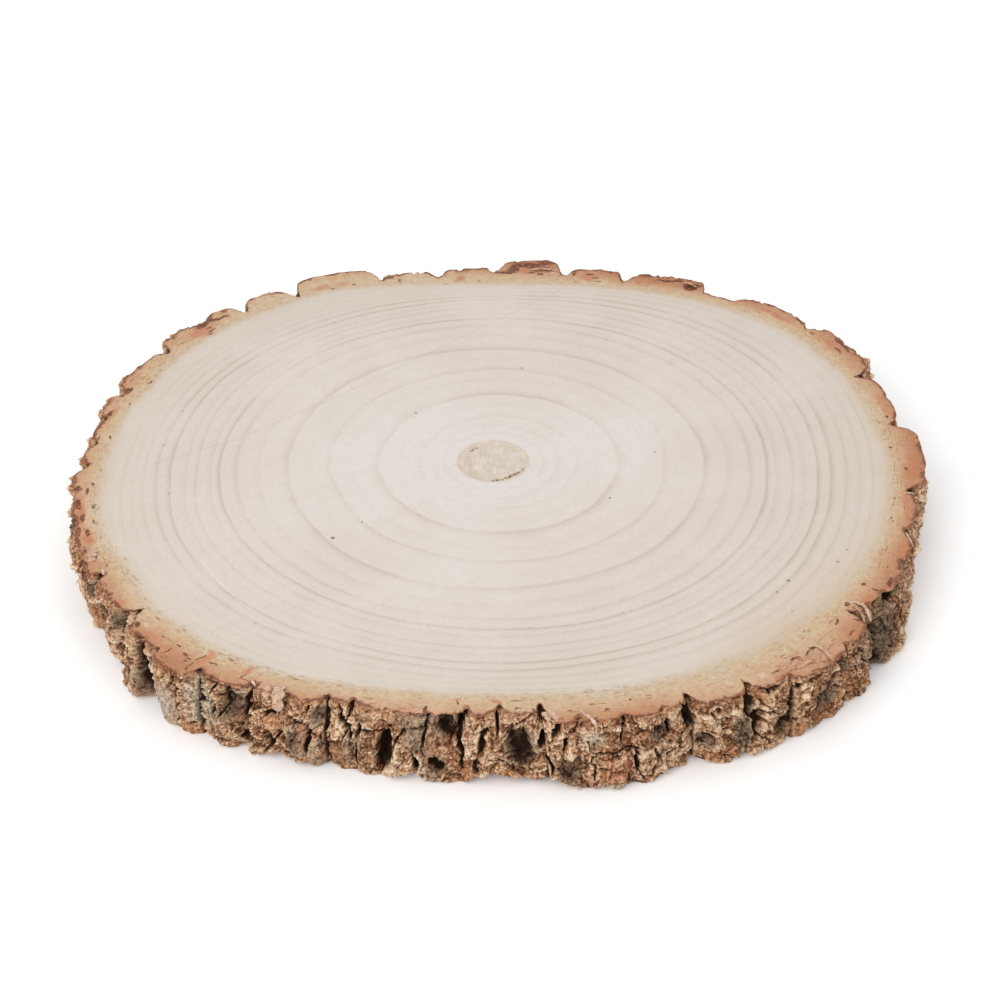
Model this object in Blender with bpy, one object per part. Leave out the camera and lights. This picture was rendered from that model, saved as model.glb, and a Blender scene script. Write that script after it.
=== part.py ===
"""A round slice of a log with its bark on, sawn flat on both faces.

The slice lies on its lower sawn face. The origin is the middle of its bounding box at the base, +Z is up,
+X is the long way across, and -Y is the side that faces the viewer. Angles are in degrees, measured
anticlockwise round the pith from +X. It grew as one piece, so it is one solid: flat wood inside the cambium
line, and outside it a rim of bark, whose plates, fissures and hollows are worked out by bark_thickness().
"""

import bmesh
import bpy
import numpy as np

MM = 0.001

# The sawn slice
THICKNESS = 26 * MM
PITH_AT = (-2.7 * MM, 2.2 * MM)
PITH_RADIUS = 13 * MM
PITH_SINK = 0.7 * MM
PITH_SIDES = 40

# The cambium, the line between wood and bark: a mean radius, and waves round it as
# (waves in a turn, height in mm, angle of a crest)
CAMBIUM_MEAN = 136 * MM
CAMBIUM_WAVES = ((1, 6.0, -49), (2, 7.0, 13), (3, 1.5, 50), (4, 3.5, 43))

# The bark's plates as they show on the sawn rim, anticlockwise:
# (angle of the fissure that the plate starts at, bark left in that fissure in mm, bark at the plate's crest in mm)
BARK_PLATES = (
    (9, 3.9, 7.4), (22, 1.7, 9.2), (36.5, 4.0, 6.8), (49.5, 1.0, 1.2), (54, 1.4, 8.9),
    (67.5, 1.2, 9.4), (78, 5.2, 16.8), (89.5, 10.0, 12.5), (99.8, 7.4, 12.6), (109.5, 11.0, 19.5),
    (124.3, 8.2, 16.2), (133.4, 9.6, 16.2), (140, 14.0, 15.8), (149.8, 8.8, 13.8), (162, 9.0, 12.6),
    (169.3, 9.0, 11.0), (175.5, 7.5, 10.8), (181.3, 7.5, 11.6), (187, 10.0, 12.0), (194, 10.0, 12.2),
    (206.7, 6.4, 9.9), (216.3, 5.2, 12.2), (224, 9.0, 15.0), (231, 9.0, 11.5), (238, 6.5, 9.5),
    (243, 7.5, 9.6), (248, 5.0, 6.5), (251.5, 5.0, 7.6), (256, 6.8, 8.4), (261.5, 6.8, 8.2),
    (266.5, 4.2, 7.9), (271, 4.0, 8.1), (276.5, 3.6, 10.9), (281, 9.4, 11.0), (287, 9.6, 11.4),
    (291.5, 9.0, 9.6), (295.5, 5.6, 12.5), (303.5, 6.8, 11.8), (309, 10.8, 15.0), (318, 12.0, 13.6),
    (324, 5.4, 9.4), (330, 8.6, 10.6), (337, 9.0, 10.6), (344, 6.4, 9.2), (353, 5.7, 12.6),
)  # fmt: skip

# How much further out the bark's foot stands than the sawn rim, as (angle, mm)
FOOT_SPREAD = (
    (0, -1.0), (60, -0.5), (180, -0.5), (192, -2.0), (203, -4.0), (213, -2.5), (221, 0.5), (228, -2.0),
    (239, 2.5), (268, 3.5), (285, 4.5), (296, -1.5), (304, 2.5), (314, -2.0), (320, 0.0), (331, 3.5), (343, -1.0),
)  # fmt: skip

# The dark hollows in the bark's side that face the viewer:
# (angle, height of the middle as a share of the thickness, half width, half height and depth in mm)
FRONT_HOLLOWS = (
    (200, 0.45, 2.0, 7, 4), (208.5, 0.4, 2.4, 6, 4), (217, 0.75, 3.2, 6, 6), (222.5, 0.45, 2.8, 11, 8),
    (234.5, 0.5, 4.5, 7, 4), (238, 0.75, 2.2, 6, 5), (240.3, 0.8, 2.0, 3, 4), (245.5, 0.3, 1.8, 6, 5),
    (248.3, 0.8, 1.8, 4, 5), (251.7, 0.5, 1.6, 5, 4), (256, 0.3, 3.0, 8, 7), (261, 0.1, 2.4, 4, 6),
    (265, 0.82, 4.2, 4, 6), (266.2, 0.5, 1.8, 6, 6), (264.3, 0.15, 2.6, 4, 4), (269.2, 0.55, 1.6, 5, 4),
    (274.3, 0.5, 4.8, 8, 6), (276.6, 0.45, 1.8, 6, 5), (278.4, 0.75, 2.0, 5, 5), (286.6, 0.7, 1.6, 4, 4),
    (291.6, 0.7, 2.6, 3.5, 5), (295.6, 0.75, 2.6, 3.5, 5), (303.8, 0.5, 2.5, 9, 7), (306.8, 0.3, 3.0, 3, 4),
    (312.3, 0.5, 2.6, 6, 6), (323.2, 0.5, 3.0, 9, 8), (330, 0.75, 3.0, 4, 5), (340, 0.35, 2.2, 7, 4),
)  # fmt: skip
# The same, strewn at random over the side that faces away
BACK_HOLLOW_COUNT = 30
BACK_HOLLOW_ANGLES = (-15, 195)
BACK_HOLLOW_SEED = 11

FISSURE_WALL = 2.6  # mm from a fissure's floor to its lip
CORK_OUT = 0.9  # mm by which the corky plates stand out below the rim
CORK_IN = 2.0  # mm by which the fissures between them go in
LUMP = 1.4  # mm, the knobs of the cork
LUMP_CELLS, LUMP_HEIGHT = 96, 6.5  # knobs round the slice, and mm up its side
BLOCK_STEP = 1.3  # mm between neighbouring blocks of one plate
BLOCK_HEIGHT = 8.5  # mm, blocks between cross cracks
LEAN = 1.6  # degrees that a fissure wanders on its way down
LEAN_CELLS, LEAN_HEIGHT = 30, 13.0
WORN_RIM, WORN_FOOT = (2.0, 5.0), (0.8, 3.0)  # mm, how far the cork has crumbled from the sawn faces
WORN_CELLS = 70
FOOT_CRUMBLE = 3.0  # mm, the most that has broken off the foot's edge
LEAST_BARK = 1.0  # mm
SHARP_ABOVE = 42  # degrees between two faces that still shade as one surface

# The mesh: columns of points that follow the fissures, and rows up the side
LIP_COLUMNS = (1.5, 3.3)  # mm from a fissure
COLUMN_STEP = 3.4  # mm between the other columns
ROWS = np.array((0, 1.3, 3.4, 6.0, 8.8, 11.6, 14.4, 17.2, 20.0, 22.6, 24.7, 26.0)) * MM


def smoothstep(low, high, value):
    """0 below low, 1 above high, and a smooth rise between."""
    share = np.clip((value - low) / (high - low), 0, 1)
    return share * share * (3 - 2 * share)


def smooth_noise(degrees, height, cells, cell_height, seed):
    """Smooth random values from -1 to 1, on a lattice that closes on itself round the slice.
    cells is the number of lattice columns in a turn, and cell_height the lattice's row height in mm."""
    rows = int(THICKNESS / MM / cell_height) + 3
    lattice = np.random.default_rng(seed).uniform(-1, 1, (cells, rows))
    across = np.asarray(degrees) / 360 * cells
    up = np.asarray(height) / MM / cell_height
    column, row = np.floor(across).astype(int), np.floor(up).astype(int)
    right, above = smoothstep(0, 1, across - column), smoothstep(0, 1, up - row)
    low = lattice[column % cells, row] * (1 - right) + lattice[(column + 1) % cells, row] * right
    high = lattice[column % cells, row + 1] * (1 - right) + lattice[(column + 1) % cells, row + 1] * right
    return low * (1 - above) + high * above


def cambium_radius(degrees):
    """Distance from the pith to the cambium: the mean, with each wave added as a cosine."""
    radius = np.full_like(np.asarray(degrees, float), CAMBIUM_MEAN)
    for turns, height, crest in CAMBIUM_WAVES:
        radius += height * MM * np.cos(np.radians(turns * (degrees - crest)))
    return radius


def fissure_lean(plate_angle, height):
    """How far, in degrees, the bark's pattern has wandered at this height. It is 0 at the upper face."""
    share_below = 1 - height / THICKNESS
    return LEAN * share_below * smooth_noise(plate_angle, height, LEAN_CELLS, LEAN_HEIGHT, 3)


def plate_at(plate_angle):
    """For each angle: which plate it lies on, its share of the way across, and the plate's width in mm."""
    starts = np.array([plate[0] for plate in BARK_PLATES], float)
    spans = np.diff(np.append(starts, starts[0] + 360))
    turned = (plate_angle - starts[0]) % 360 + starts[0]
    index = np.clip(np.searchsorted(starts, turned, side="right") - 1, 0, len(starts) - 1)
    share = (turned - starts[index]) / spans[index]
    return index, share, np.radians(spans[index]) * CAMBIUM_MEAN / MM


def hollows():
    """Every hollow: the listed ones and the seeded ones, as (angle, share of height, mm, mm, mm)."""
    random = np.random.default_rng(BACK_HOLLOW_SEED)
    low, high = BACK_HOLLOW_ANGLES
    step = (high - low) / BACK_HOLLOW_COUNT
    strewn = []
    for number in range(BACK_HOLLOW_COUNT):
        angle = low + step * (number + random.uniform(0.1, 0.9))
        middle, half_width = random.uniform(0.2, 0.8), random.uniform(1.7, 3.2)
        strewn.append((angle, middle, half_width, random.uniform(4, 9), random.uniform(3.5, 7)))
    return (*FRONT_HOLLOWS, *strewn)


def hollow_depth(degrees, height):
    """Depth in mm that the hollows take out of the bark's side: each is a soft-edged oval dent, and where
    two meet the deeper one counts."""
    depth = np.zeros(np.broadcast(degrees, height).shape)
    for angle, middle, half_width, half_height, deepest in hollows():
        across = (degrees - angle + 180) % 360 - 180
        across = np.radians(across) * CAMBIUM_MEAN / MM / half_width
        up = (height - middle * THICKNESS) / MM / half_height
        depth = np.maximum(depth, deepest * np.exp(-((across**2 + up**2) ** 1.5)))
    return depth


def bark_thickness(plate_angle, height):
    """Bark outside the cambium, in metres. On the sawn rim it follows BARK_PLATES: bark rises from one
    fissure, over a low dome, to the next. Below the rim the corky plates stand further out, split by cross
    cracks into blocks and knobs, and the fissures and hollows go further in."""
    floors = np.array([plate[1] for plate in BARK_PLATES])
    crests = np.array([plate[2] for plate in BARK_PLATES])
    index, share, width = plate_at(plate_angle)
    floor = floors[index] * (1 - share) + np.roll(floors, -1)[index] * share
    from_fissure = np.minimum(share, 1 - share) * width
    wall = 1 - np.exp(-((from_fissure / FISSURE_WALL) ** 2))
    dome = 1 - np.abs(2 * share - 1) ** 3
    rim = floor + (crests[index] - floor) * wall * (0.65 + 0.35 * dome)

    # Blocks: each plate has its own phase of cross cracks, and each block its own step out.
    steps = np.random.default_rng(5).uniform(-1, 1, (len(BARK_PLATES), 8))
    up = height / MM / BLOCK_HEIGHT + steps[index, 0] + 0.12 * smooth_noise(plate_angle, height, 120, 9.0, 8)
    block = np.floor(up).astype(int)
    to_crack = np.minimum(up - block, 1 - (up - block)) * BLOCK_HEIGHT
    blocks = BLOCK_STEP * steps[index, block % 7 + 1] - 1.6 * np.exp(-((to_crack / 0.9) ** 2))
    lumps = LUMP * smooth_noise(plate_angle, height, LUMP_CELLS, LUMP_HEIGHT, 7)
    cork = (CORK_OUT + CORK_IN) * wall - CORK_IN + wall * (blocks + lumps)

    # The cork has crumbled away near both sawn faces, by an amount that changes round the rim.
    worn_top = np.interp(smooth_noise(plate_angle, height * 0, WORN_CELLS, 40.0, 13), (-1, 1), WORN_RIM)
    worn_base = np.interp(smooth_noise(plate_angle, height * 0, WORN_CELLS, 40.0, 17), (-1, 1), WORN_FOOT)
    kept = smoothstep(0, worn_top, (THICKNESS - height) / MM) * smoothstep(-1.0, worn_base, height / MM)
    actual_angle = plate_angle + fissure_lean(plate_angle, height)
    spread_angles, spread = np.transpose(FOOT_SPREAD)
    foot = np.interp(plate_angle, spread_angles, spread, period=360) * smoothstep(0, 0.7, 1 - height / THICKNESS)
    broken = FOOT_CRUMBLE * (0.5 + 0.5 * smooth_noise(plate_angle, height * 0, WORN_CELLS, 40.0, 19))
    broken *= 1 - smoothstep(0, 5, height / MM)
    thickness = rim + foot - broken + kept * (cork - hollow_depth(actual_angle, height))
    return np.maximum(thickness, LEAST_BARK) * MM


def point_on(degrees, radius, height):
    """Points in the slice's frame, from angles and distances round the pith."""
    turned = np.radians(degrees)
    x = PITH_AT[0] + radius * np.cos(turned)
    y = PITH_AT[1] + radius * np.sin(turned)
    return np.stack(np.broadcast_arrays(x, y, height), axis=-1)


def column_angles():
    """Angles of the mesh's columns: close together at each fissure, and evenly spaced between."""
    starts = [plate[0] for plate in BARK_PLATES]
    angles = []
    for start, end in zip(starts, [*starts[1:], starts[0] + 360], strict=True):
        width = np.radians(end - start) * CAMBIUM_MEAN / MM
        near, far = 0.0, width
        for lip in LIP_COLUMNS:
            if lip < width / 2 - 0.5:
                angles += [start + (end - start) * near / width, start + (end - start) * far / width]
                near, far = lip, width - lip
        middle = np.linspace(near, far, max(2, round((far - near) / COLUMN_STEP) + 1))
        angles += list(start + (end - start) * middle / width)
    return np.unique(np.round(np.array(angles) % 360, 4))


def ring_of(mesh, points):
    """A closed ring of edges through these points. Returns its corners in order."""
    corners = [mesh.verts.new(point) for point in points]
    for a, b in zip(corners, corners[1:] + corners[:1], strict=True):
        mesh.edges.new((a, b))
    return corners


def edges_of(mesh, corners):
    """The edges between neighbouring corners of a ring."""
    return [mesh.edges.get(pair) for pair in zip(corners, corners[1:] + corners[:1], strict=True)]


def extrude_ring(mesh, corners, points, material):
    """Extrudes a ring of edges and moves the new ring to these points. Returns the new corners in order."""
    made = bmesh.ops.extrude_edge_only(mesh, edges=edges_of(mesh, corners))["geom"]
    for face in made:
        if isinstance(face, bmesh.types.BMFace):
            face.material_index = material
    new = {vertex for vertex in made if isinstance(vertex, bmesh.types.BMVert)}
    partners = []
    for corner, point in zip(corners, points, strict=True):
        partner = next(edge.other_vert(corner) for edge in corner.link_edges if edge.other_vert(corner) in new)
        partner.co = point
        partners.append(partner)
    return partners


def finish(name, colour, roughness):
    """A Principled material of one colour."""
    material = bpy.data.materials.new(name)
    material.use_nodes = True
    shader = material.node_tree.nodes["Principled BSDF"]
    shader.inputs["Base Color"].default_value = (*colour, 1)
    shader.inputs["Roughness"].default_value = roughness
    shader.inputs["Metallic"].default_value = 0.0
    return material


def make_wood_slice():
    """Builds the slice ring by ring: the lower face, the bark's side from the base up, and the upper face."""
    materials = (
        finish("sawn_wood", (0.73, 0.66, 0.59), 0.65),
        finish("inner_bark", (0.66, 0.41, 0.23), 0.7),
        finish("cork", (0.33, 0.21, 0.12), 0.9),
        finish("pith", (0.62, 0.51, 0.37), 0.8),
    )
    wood, inner_bark, cork, pith = range(len(materials))
    mesh = bmesh.new()
    plate_angles = column_angles()

    # The lower face's cambium line, and the underside of the bark
    base_angles = plate_angles + fissure_lean(plate_angles, 0.0)
    base_cambium = ring_of(mesh, point_on(base_angles, cambium_radius(base_angles), 0.0))
    mesh.faces.new(base_cambium).material_index = wood
    ring = base_cambium
    # The bark's side, row by row from the base to the upper sawn rim
    for height in ROWS:
        degrees = plate_angles + fissure_lean(plate_angles, height)
        radius = cambium_radius(degrees) + bark_thickness(plate_angles, height)
        ring = extrude_ring(mesh, ring, point_on(degrees, radius, height), inner_bark if height == 0 else cork)
    # The upper face: inwards over the bark to the cambium, over the wood to the pith, and down into the pith
    cambium = point_on(plate_angles, cambium_radius(plate_angles), THICKNESS)
    top_cambium = extrude_ring(mesh, ring, cambium, inner_bark)
    around = np.arange(PITH_SIDES) * 360 / PITH_SIDES
    pith_lip = ring_of(mesh, point_on(around, PITH_RADIUS, THICKNESS))
    joined = bmesh.ops.bridge_loops(mesh, edges=edges_of(mesh, top_cambium) + edges_of(mesh, pith_lip))
    for face in joined["faces"]:
        face.material_index = wood
    floor = point_on(around, PITH_RADIUS - PITH_SINK, THICKNESS - PITH_SINK)
    pith_floor = extrude_ring(mesh, pith_lip, floor, pith)
    mesh.faces.new(pith_floor).material_index = pith

    bmesh.ops.recalc_face_normals(mesh, faces=mesh.faces[:])
    data = bpy.data.meshes.new("wood_slice")
    mesh.to_mesh(data)
    mesh.free()
    data.shade_smooth()
    data.set_sharp_from_angle(angle=np.radians(SHARP_ABOVE))
    for material in materials:
        data.materials.append(material)
    wood_slice = bpy.data.objects.new("wood_slice", data)
    bpy.context.scene.collection.objects.link(wood_slice)
    return wood_slice


for leftover in list(bpy.data.objects):
    bpy.data.objects.remove(leftover)
make_wood_slice()
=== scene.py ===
# %% [markdown]
# # A wood slice: sawn rings inside, cork outside
#
# A slice like this is cut straight across a young, fast-grown log. The saw leaves two flat faces that show
# the growth rings, and the bark stays on as a rough rim. This notebook loads the plain solid of the slice,
# hides it, and rebuilds its whole skin in fine detail: the two sawn faces, the pith in the middle, the rim
# of bark with its fissures and hollows, and the chips and splinters that hang on it.

# %% Load the solid slice
import math

import bmesh
import bpy
import numpy as np
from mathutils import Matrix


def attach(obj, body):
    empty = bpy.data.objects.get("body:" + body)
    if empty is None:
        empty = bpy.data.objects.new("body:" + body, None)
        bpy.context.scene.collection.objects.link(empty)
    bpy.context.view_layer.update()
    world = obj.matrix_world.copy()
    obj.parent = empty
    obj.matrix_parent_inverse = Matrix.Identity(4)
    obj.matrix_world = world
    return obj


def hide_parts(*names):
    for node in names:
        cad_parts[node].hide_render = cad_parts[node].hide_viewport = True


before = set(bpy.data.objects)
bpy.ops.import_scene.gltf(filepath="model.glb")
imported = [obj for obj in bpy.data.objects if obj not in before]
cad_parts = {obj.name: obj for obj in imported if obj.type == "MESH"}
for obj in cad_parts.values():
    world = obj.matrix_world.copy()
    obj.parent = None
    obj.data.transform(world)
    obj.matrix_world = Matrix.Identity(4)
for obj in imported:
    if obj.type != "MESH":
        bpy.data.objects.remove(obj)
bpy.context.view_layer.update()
MM = 0.001

# %% [markdown]
# ## Measures
#
# Everything is placed by an angle round the pith, a distance from the pith and a height. The cambium is the
# line where wood ends and bark begins. A real trunk is never a circle, so the cambium is a mean radius with
# a few cosine waves on it. Outside it each bark plate starts at a fissure, where little bark is left, and
# swells to a crest. These are the same numbers as the solid's, so the new skin lies on it.

# %% Cambium and bark plates
THICKNESS = 26.0
PITH_AT = (-2.7, 2.2)
PITH_RADIUS = 13.0
CAMBIUM_MEAN = 136.0
CAMBIUM_WAVES = ((1, 6.0, -49), (2, 7.0, 13), (3, 1.5, 50), (4, 3.5, 43))
# The bark's mean distance from the pith, and the way once round the slice
BARK_RADIUS = 143
GIRTH = 880
# (angle where a fissure opens, bark left in the fissure, bark at the plate's crest), in degrees and mm
BARK_PLATES = np.array((
    (9, 3.9, 7.4), (22, 1.7, 9.2), (36.5, 4.0, 6.8), (49.5, 1.0, 1.2), (54, 1.4, 8.9), (67.5, 1.2, 9.4),
    (78, 5.2, 16.8), (89.5, 10.0, 12.5), (99.8, 7.4, 12.6), (109.5, 11.0, 19.5), (124.3, 8.2, 16.2),
    (133.4, 9.6, 16.2), (140, 14.0, 15.8), (149.8, 8.8, 13.8), (162, 9.0, 12.6), (169.3, 9.0, 11.0),
    (175.5, 7.5, 10.8), (181.3, 7.5, 11.6), (187, 10.0, 12.0), (194, 10.0, 12.2), (206.7, 6.4, 9.9),
    (216.3, 5.2, 12.2), (224, 9.0, 15.0), (231, 9.0, 11.5), (238, 6.5, 9.5), (243, 7.5, 9.6),
    (248, 5.0, 6.5), (251.5, 5.0, 7.6), (256, 6.8, 8.4), (261.5, 6.8, 8.2), (266.5, 4.2, 7.9),
    (271, 4.0, 8.1), (276.5, 3.6, 10.9), (281, 9.4, 11.0), (287, 9.6, 11.4), (291.5, 9.0, 9.6),
    (295.5, 5.6, 12.5), (303.5, 6.8, 11.8), (309, 10.8, 15.0), (318, 12.0, 13.6), (324, 5.4, 9.4),
    (330, 8.6, 10.6), (337, 9.0, 10.6), (344, 6.4, 9.2), (353, 5.7, 12.6),
))  # fmt: skip
# How much further out the bark's foot stands than the sawn rim: (angle, mm)
FOOT_SPREAD = np.array((
    (0, -1.0), (60, -0.5), (180, -0.5), (192, -2.0), (203, -4.0), (213, -2.5), (221, 0.5), (228, -2.0),
    (239, 2.5), (268, 3.5), (285, 4.5), (296, -1.5), (304, 2.5), (314, -2.0), (320, 0.0), (331, 3.5),
    (343, -1.0),
))  # fmt: skip
print(len(BARK_PLATES), "bark plates on the rim")

# %% [markdown]
# ## Noise that closes on itself
#
# Bark needs irregular shapes, but its surface runs once round the slice and has to meet itself. So the
# noise lives on a lattice with a whole number of squares in a turn. `noise` blends random values smoothly
# between lattice points. `layers` adds finer and fainter copies, which is how natural roughness looks.
# `crackle` gives each place to its nearest scattered point: the borders between those points become cracks
# between blocks.


# %% Noise, layers and cracks
# Squares up the bark before the random values repeat
LATTICE_ROWS = 64


def smoothstep(low, high, value):
    """0 below low, 1 above high, and the curve 3x^2 - 2x^3 between them."""
    share = np.clip((value - low) / (high - low), 0, 1)
    return share * share * (3 - 2 * share)


def noise(turn, rise, around, seed):
    """Random values from -1 to 1 on a lattice with `around` squares in a turn, blended smoothly between its
    points. turn goes from 0 to 1 round the slice, and rise counts squares the other way."""
    table = np.random.default_rng(seed).uniform(-1, 1, (around, LATTICE_ROWS))
    across = turn * around
    column, row = np.floor(across).astype(int), np.floor(rise).astype(int)
    right, above = smoothstep(0, 1, across - column), smoothstep(0, 1, rise - row)
    here, beside = column % around, (column + 1) % around
    low, high = (
        table[here, level % LATTICE_ROWS] * (1 - right) + table[beside, level % LATTICE_ROWS] * right
        for level in (row, row + 1)
    )
    return low * (1 - above) + high * above


def layers(turn, height, size, seed, count=3):
    """Adds copies of noise, each half as coarse and half as strong as the last. size is the coarsest, in
    mm."""
    total = 0
    for layer in range(count):
        fine = size / 2**layer
        total = total + noise(turn, height / fine, round(GIRTH / fine), seed + layer) / 2**layer
    return total


def crackle(turn, height, size, seed, loose=0.85):
    """Each lattice square holds one scattered point. Returns the distance to the nearest border between the
    cells of two points, in mm, and the random number of the cell that each place belongs to."""
    width, tall = size
    around = round(GIRTH / width)
    table = np.random.default_rng(seed).uniform(0, 1, (around, LATTICE_ROWS, 3))
    across, up = turn * around, height / tall
    column, row = np.floor(across).astype(int), np.floor(up).astype(int)
    nearest = np.full(across.shape, 9.0)
    second, owner = nearest.copy(), nearest.copy()
    for right, above in ((a, b) for a in (-1, 0, 1) for b in (-1, 0, 1)):
        spot = table[(column + right) % around, (row + above) % LATTICE_ROWS]
        away = np.hypot(
            column + right + 0.5 + loose * (spot[..., 0] - 0.5) - across,
            row + above + 0.5 + loose * (spot[..., 1] - 0.5) - up,
        )
        second = np.minimum(second, np.maximum(nearest, away))
        owner = np.where(away < nearest, spot[..., 2] * 2 - 1, owner)
        nearest = np.minimum(nearest, away)
    return (second - nearest) / 2 * min(width, tall), owner


trial = layers(np.linspace(0, 1, 1000), np.full(1000, 5.0), 8.0, 1)
print("noise closes on itself to within", abs(trial[0] - trial[-1]).round(6))

# %% [markdown]
# ## The slice's outline
#
# `cambium` gives the wood's edge. `rim_bark` gives the bark on the sawn rim, plate by plate: a wall rises
# from the fissure, and a flat dome joins it to the next one.


# %% Cambium and rim
def between(degrees, angles, values):
    """Joins up values given at some angles by straight lines, all the way round."""
    return np.interp(degrees % 360, angles, values, period=360)


def cambium(degrees):
    """Mean radius plus one cosine for each wave, in mm."""
    waves = (tall * np.cos(np.radians(turns * (degrees - crest))) for turns, tall, crest in CAMBIUM_WAVES)
    return CAMBIUM_MEAN + sum(waves)


def plate_at(degrees):
    """Which plate each angle is on, its share of the way across, and how wide the plate is in mm."""
    starts = BARK_PLATES[:, 0]
    spans = np.diff(np.append(starts, starts[0] + 360))
    turned = (degrees - starts[0]) % 360 + starts[0]
    index = np.clip(np.searchsorted(starts, turned, side="right") - 1, 0, len(starts) - 1)
    return index, (turned - starts[index]) / spans[index], np.radians(spans[index]) * CAMBIUM_MEAN


def rim_bark(degrees):
    """Bark on the sawn rim in mm: floor + (crest - floor) * wall * dome. wall is 0 in a fissure and 1 a few
    mm beyond, steeper on the near side; dome is a flat arch over the plate. Returns the bark and the
    wall."""
    wall_width = between(degrees, (0, 190, 215, 325, 345), (2.5, 2.5, 1.4, 1.4, 2.5))
    index, share, width = plate_at(degrees)
    floor = BARK_PLATES[index, 1] * (1 - share) + np.roll(BARK_PLATES[:, 1], -1)[index] * share
    wall = 1 - np.exp(-((np.minimum(share, 1 - share) * width / wall_width) ** 2))
    dome = 0.65 + 0.35 * (1 - np.abs(2 * share - 1) ** 3)
    return floor + (BARK_PLATES[index, 2] - floor) * wall * dome, wall


# Where the sawn rim has broken away and the side slopes out from it instead: (angle, mm)
RIM_BITES = np.array((
    (186, 0), (190, 1.5), (194, 0.5), (199, 1.5), (203, 2.5), (206, 1.0), (211, 1.5), (213.5, 2.2),
    (217, 3.2), (219, 1.0), (221.5, 2.5), (224, 0), (231, 0), (233, 1.0), (237, 0), (247, 0.5), (252, 0),
    (263, 0), (265, 1.2), (268, 0.3), (273, 1.0), (277, 1.5), (279, 0), (292, 0), (297, 2.0), (300, 0.6),
    (303, 1.4), (306, 0), (316, 0), (322, 1.0), (325, 3.0), (328, 2.0), (331, 0),
))  # fmt: skip


def rim_bite(degrees):
    """How much of the sawn rim is missing, in mm: the bites joined up."""
    return between(degrees, *RIM_BITES.T)


def place(degrees, radius, height):
    """Points in metres from angles, distances round the pith and heights in mm."""
    turned = np.radians(degrees)
    parts = (PITH_AT[0] + radius * np.cos(turned), PITH_AT[1] + radius * np.sin(turned), height)
    return np.stack(np.broadcast_arrays(*parts), axis=-1) * MM


every = np.arange(0, 360, 0.5)
print("wood radius", cambium(every).min().round(1), "to", cambium(every).max().round(1), "mm")

# %% [markdown]
# ## Hollows and cracks
#
# The corky bark is full of dark caves where blocks have fallen out, and thin black cracks run between the
# blocks that are left. The ones on the near side are listed by angle and height, so that they fall in the
# right places. The far side gets seeded ones of the same kind.

# %% Hollows, cracks and gaps
# (angle, height, half width, half height, sideways lean per mm up, depth), in mm
HOLLOWS = [
    (198, 12, 2.2, 7, -0.2, 3.5), (203.5, 15, 1.8, 5, 0.2, 3), (208.5, 10, 2.2, 6, 0, 3.5),
    (216.4, 17.5, 3.4, 5.4, 0.3, 7), (210.4, 8, 1.4, 4, 0.3, 3), (221.8, 14.0, 3.8, 9.5, 0.25, 7.5),
    (223.4, 5, 3.0, 5.5, 0.2, 7), (236.2, 20.5, 4.2, 4.5, 0, 2.2), (238.1, 17, 0.9, 9, 0, 4.5),
    (237.9, 6.5, 1.5, 5, 0.3, 3.5), (241.3, 18.6, 1.6, 1.3, 0, 3), (241.6, 7.0, 1.2, 4.5, 0.35, 3),
    (246.2, 12, 1.0, 7, -0.1, 3.4), (247.6, 21.5, 1.6, 3.2, 0, 2.6), (250.6, 18, 1.1, 7, 0.3, 3.6),
    (252.2, 16, 0.7, 4, -0.3, 3), (255.8, 9.6, 3.2, 7.2, -0.16, 7), (257.0, 19.6, 1.0, 0.9, 0.4, 2),
    (260.9, 7.2, 1.5, 3.2, 0.25, 5), (264.6, 20.4, 4.4, 4.6, 0.35, 4.2), (266.3, 17, 1.0, 9.5, 0.12, 4.2),
    (263.8, 6.8, 3.2, 3.8, 0.25, 4.2), (268.9, 16.5, 1.2, 5, 0, 3.2), (270.6, 22, 0.7, 4.5, 0, 3.2),
    (268.6, 7.5, 0.9, 3.5, 0, 2.4), (273.4, 14, 4.6, 7.2, 0.08, 4.6), (274.0, 11.5, 2.1, 3.6, -0.1, 4.4),
    (276.1, 17, 1.3, 3.3, -0.25, 5.2), (277.9, 21.6, 1.2, 3.0, -0.35, 4.2),
    (279.0, 18, 0.9, 2.2, -0.4, 2.4), (276.9, 9, 0.9, 3.6, 0, 3.4), (279, 8, 3.6, 5, 0, 1.5),
    (286.4, 20.5, 0.8, 4.0, 0, 2.3), (288.0, 9.5, 0.9, 4.5, -0.1, 3.2), (290.8, 19.6, 2.0, 2.4, 0, 2.8),
    (292.3, 18.6, 0.9, 3.0, 0, 4), (295.0, 20.4, 2.2, 3.6, 0, 5), (296.4, 10.4, 2.2, 3.4, -0.2, 2.0),
    (298.3, 22.4, 1.2, 1.3, 0, 2), (302.6, 20, 2.4, 5.5, -0.1, 5.2), (303.2, 11.5, 2.3, 6.5, -0.22, 4.8),
    (306.4, 24.0, 2.8, 1.1, -0.45, 3.6), (307.4, 7.6, 3.2, 4.2, 0, 2.2), (309.4, 21.2, 1.0, 1.2, 0, 2.2),
    (313.6, 12.4, 2.3, 7.0, -0.5, 4.8), (311.6, 4, 0.9, 2.4, 0, 3), (317.7, 11, 2.0, 1.1, -0.3, 1.8),
    (324.6, 15.6, 4.0, 7.8, -0.2, 4.2), (325.4, 9, 2.2, 6, -0.2, 6), (326.6, 5.0, 2.4, 4.2, -0.3, 5.5),
    (331.0, 22, 3.6, 2.8, 0, 4.0), (336, 14, 2.2, 6, -0.2, 3.2), (342, 11, 2.0, 6, 0, 3.0),
]  # fmt: skip
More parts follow.
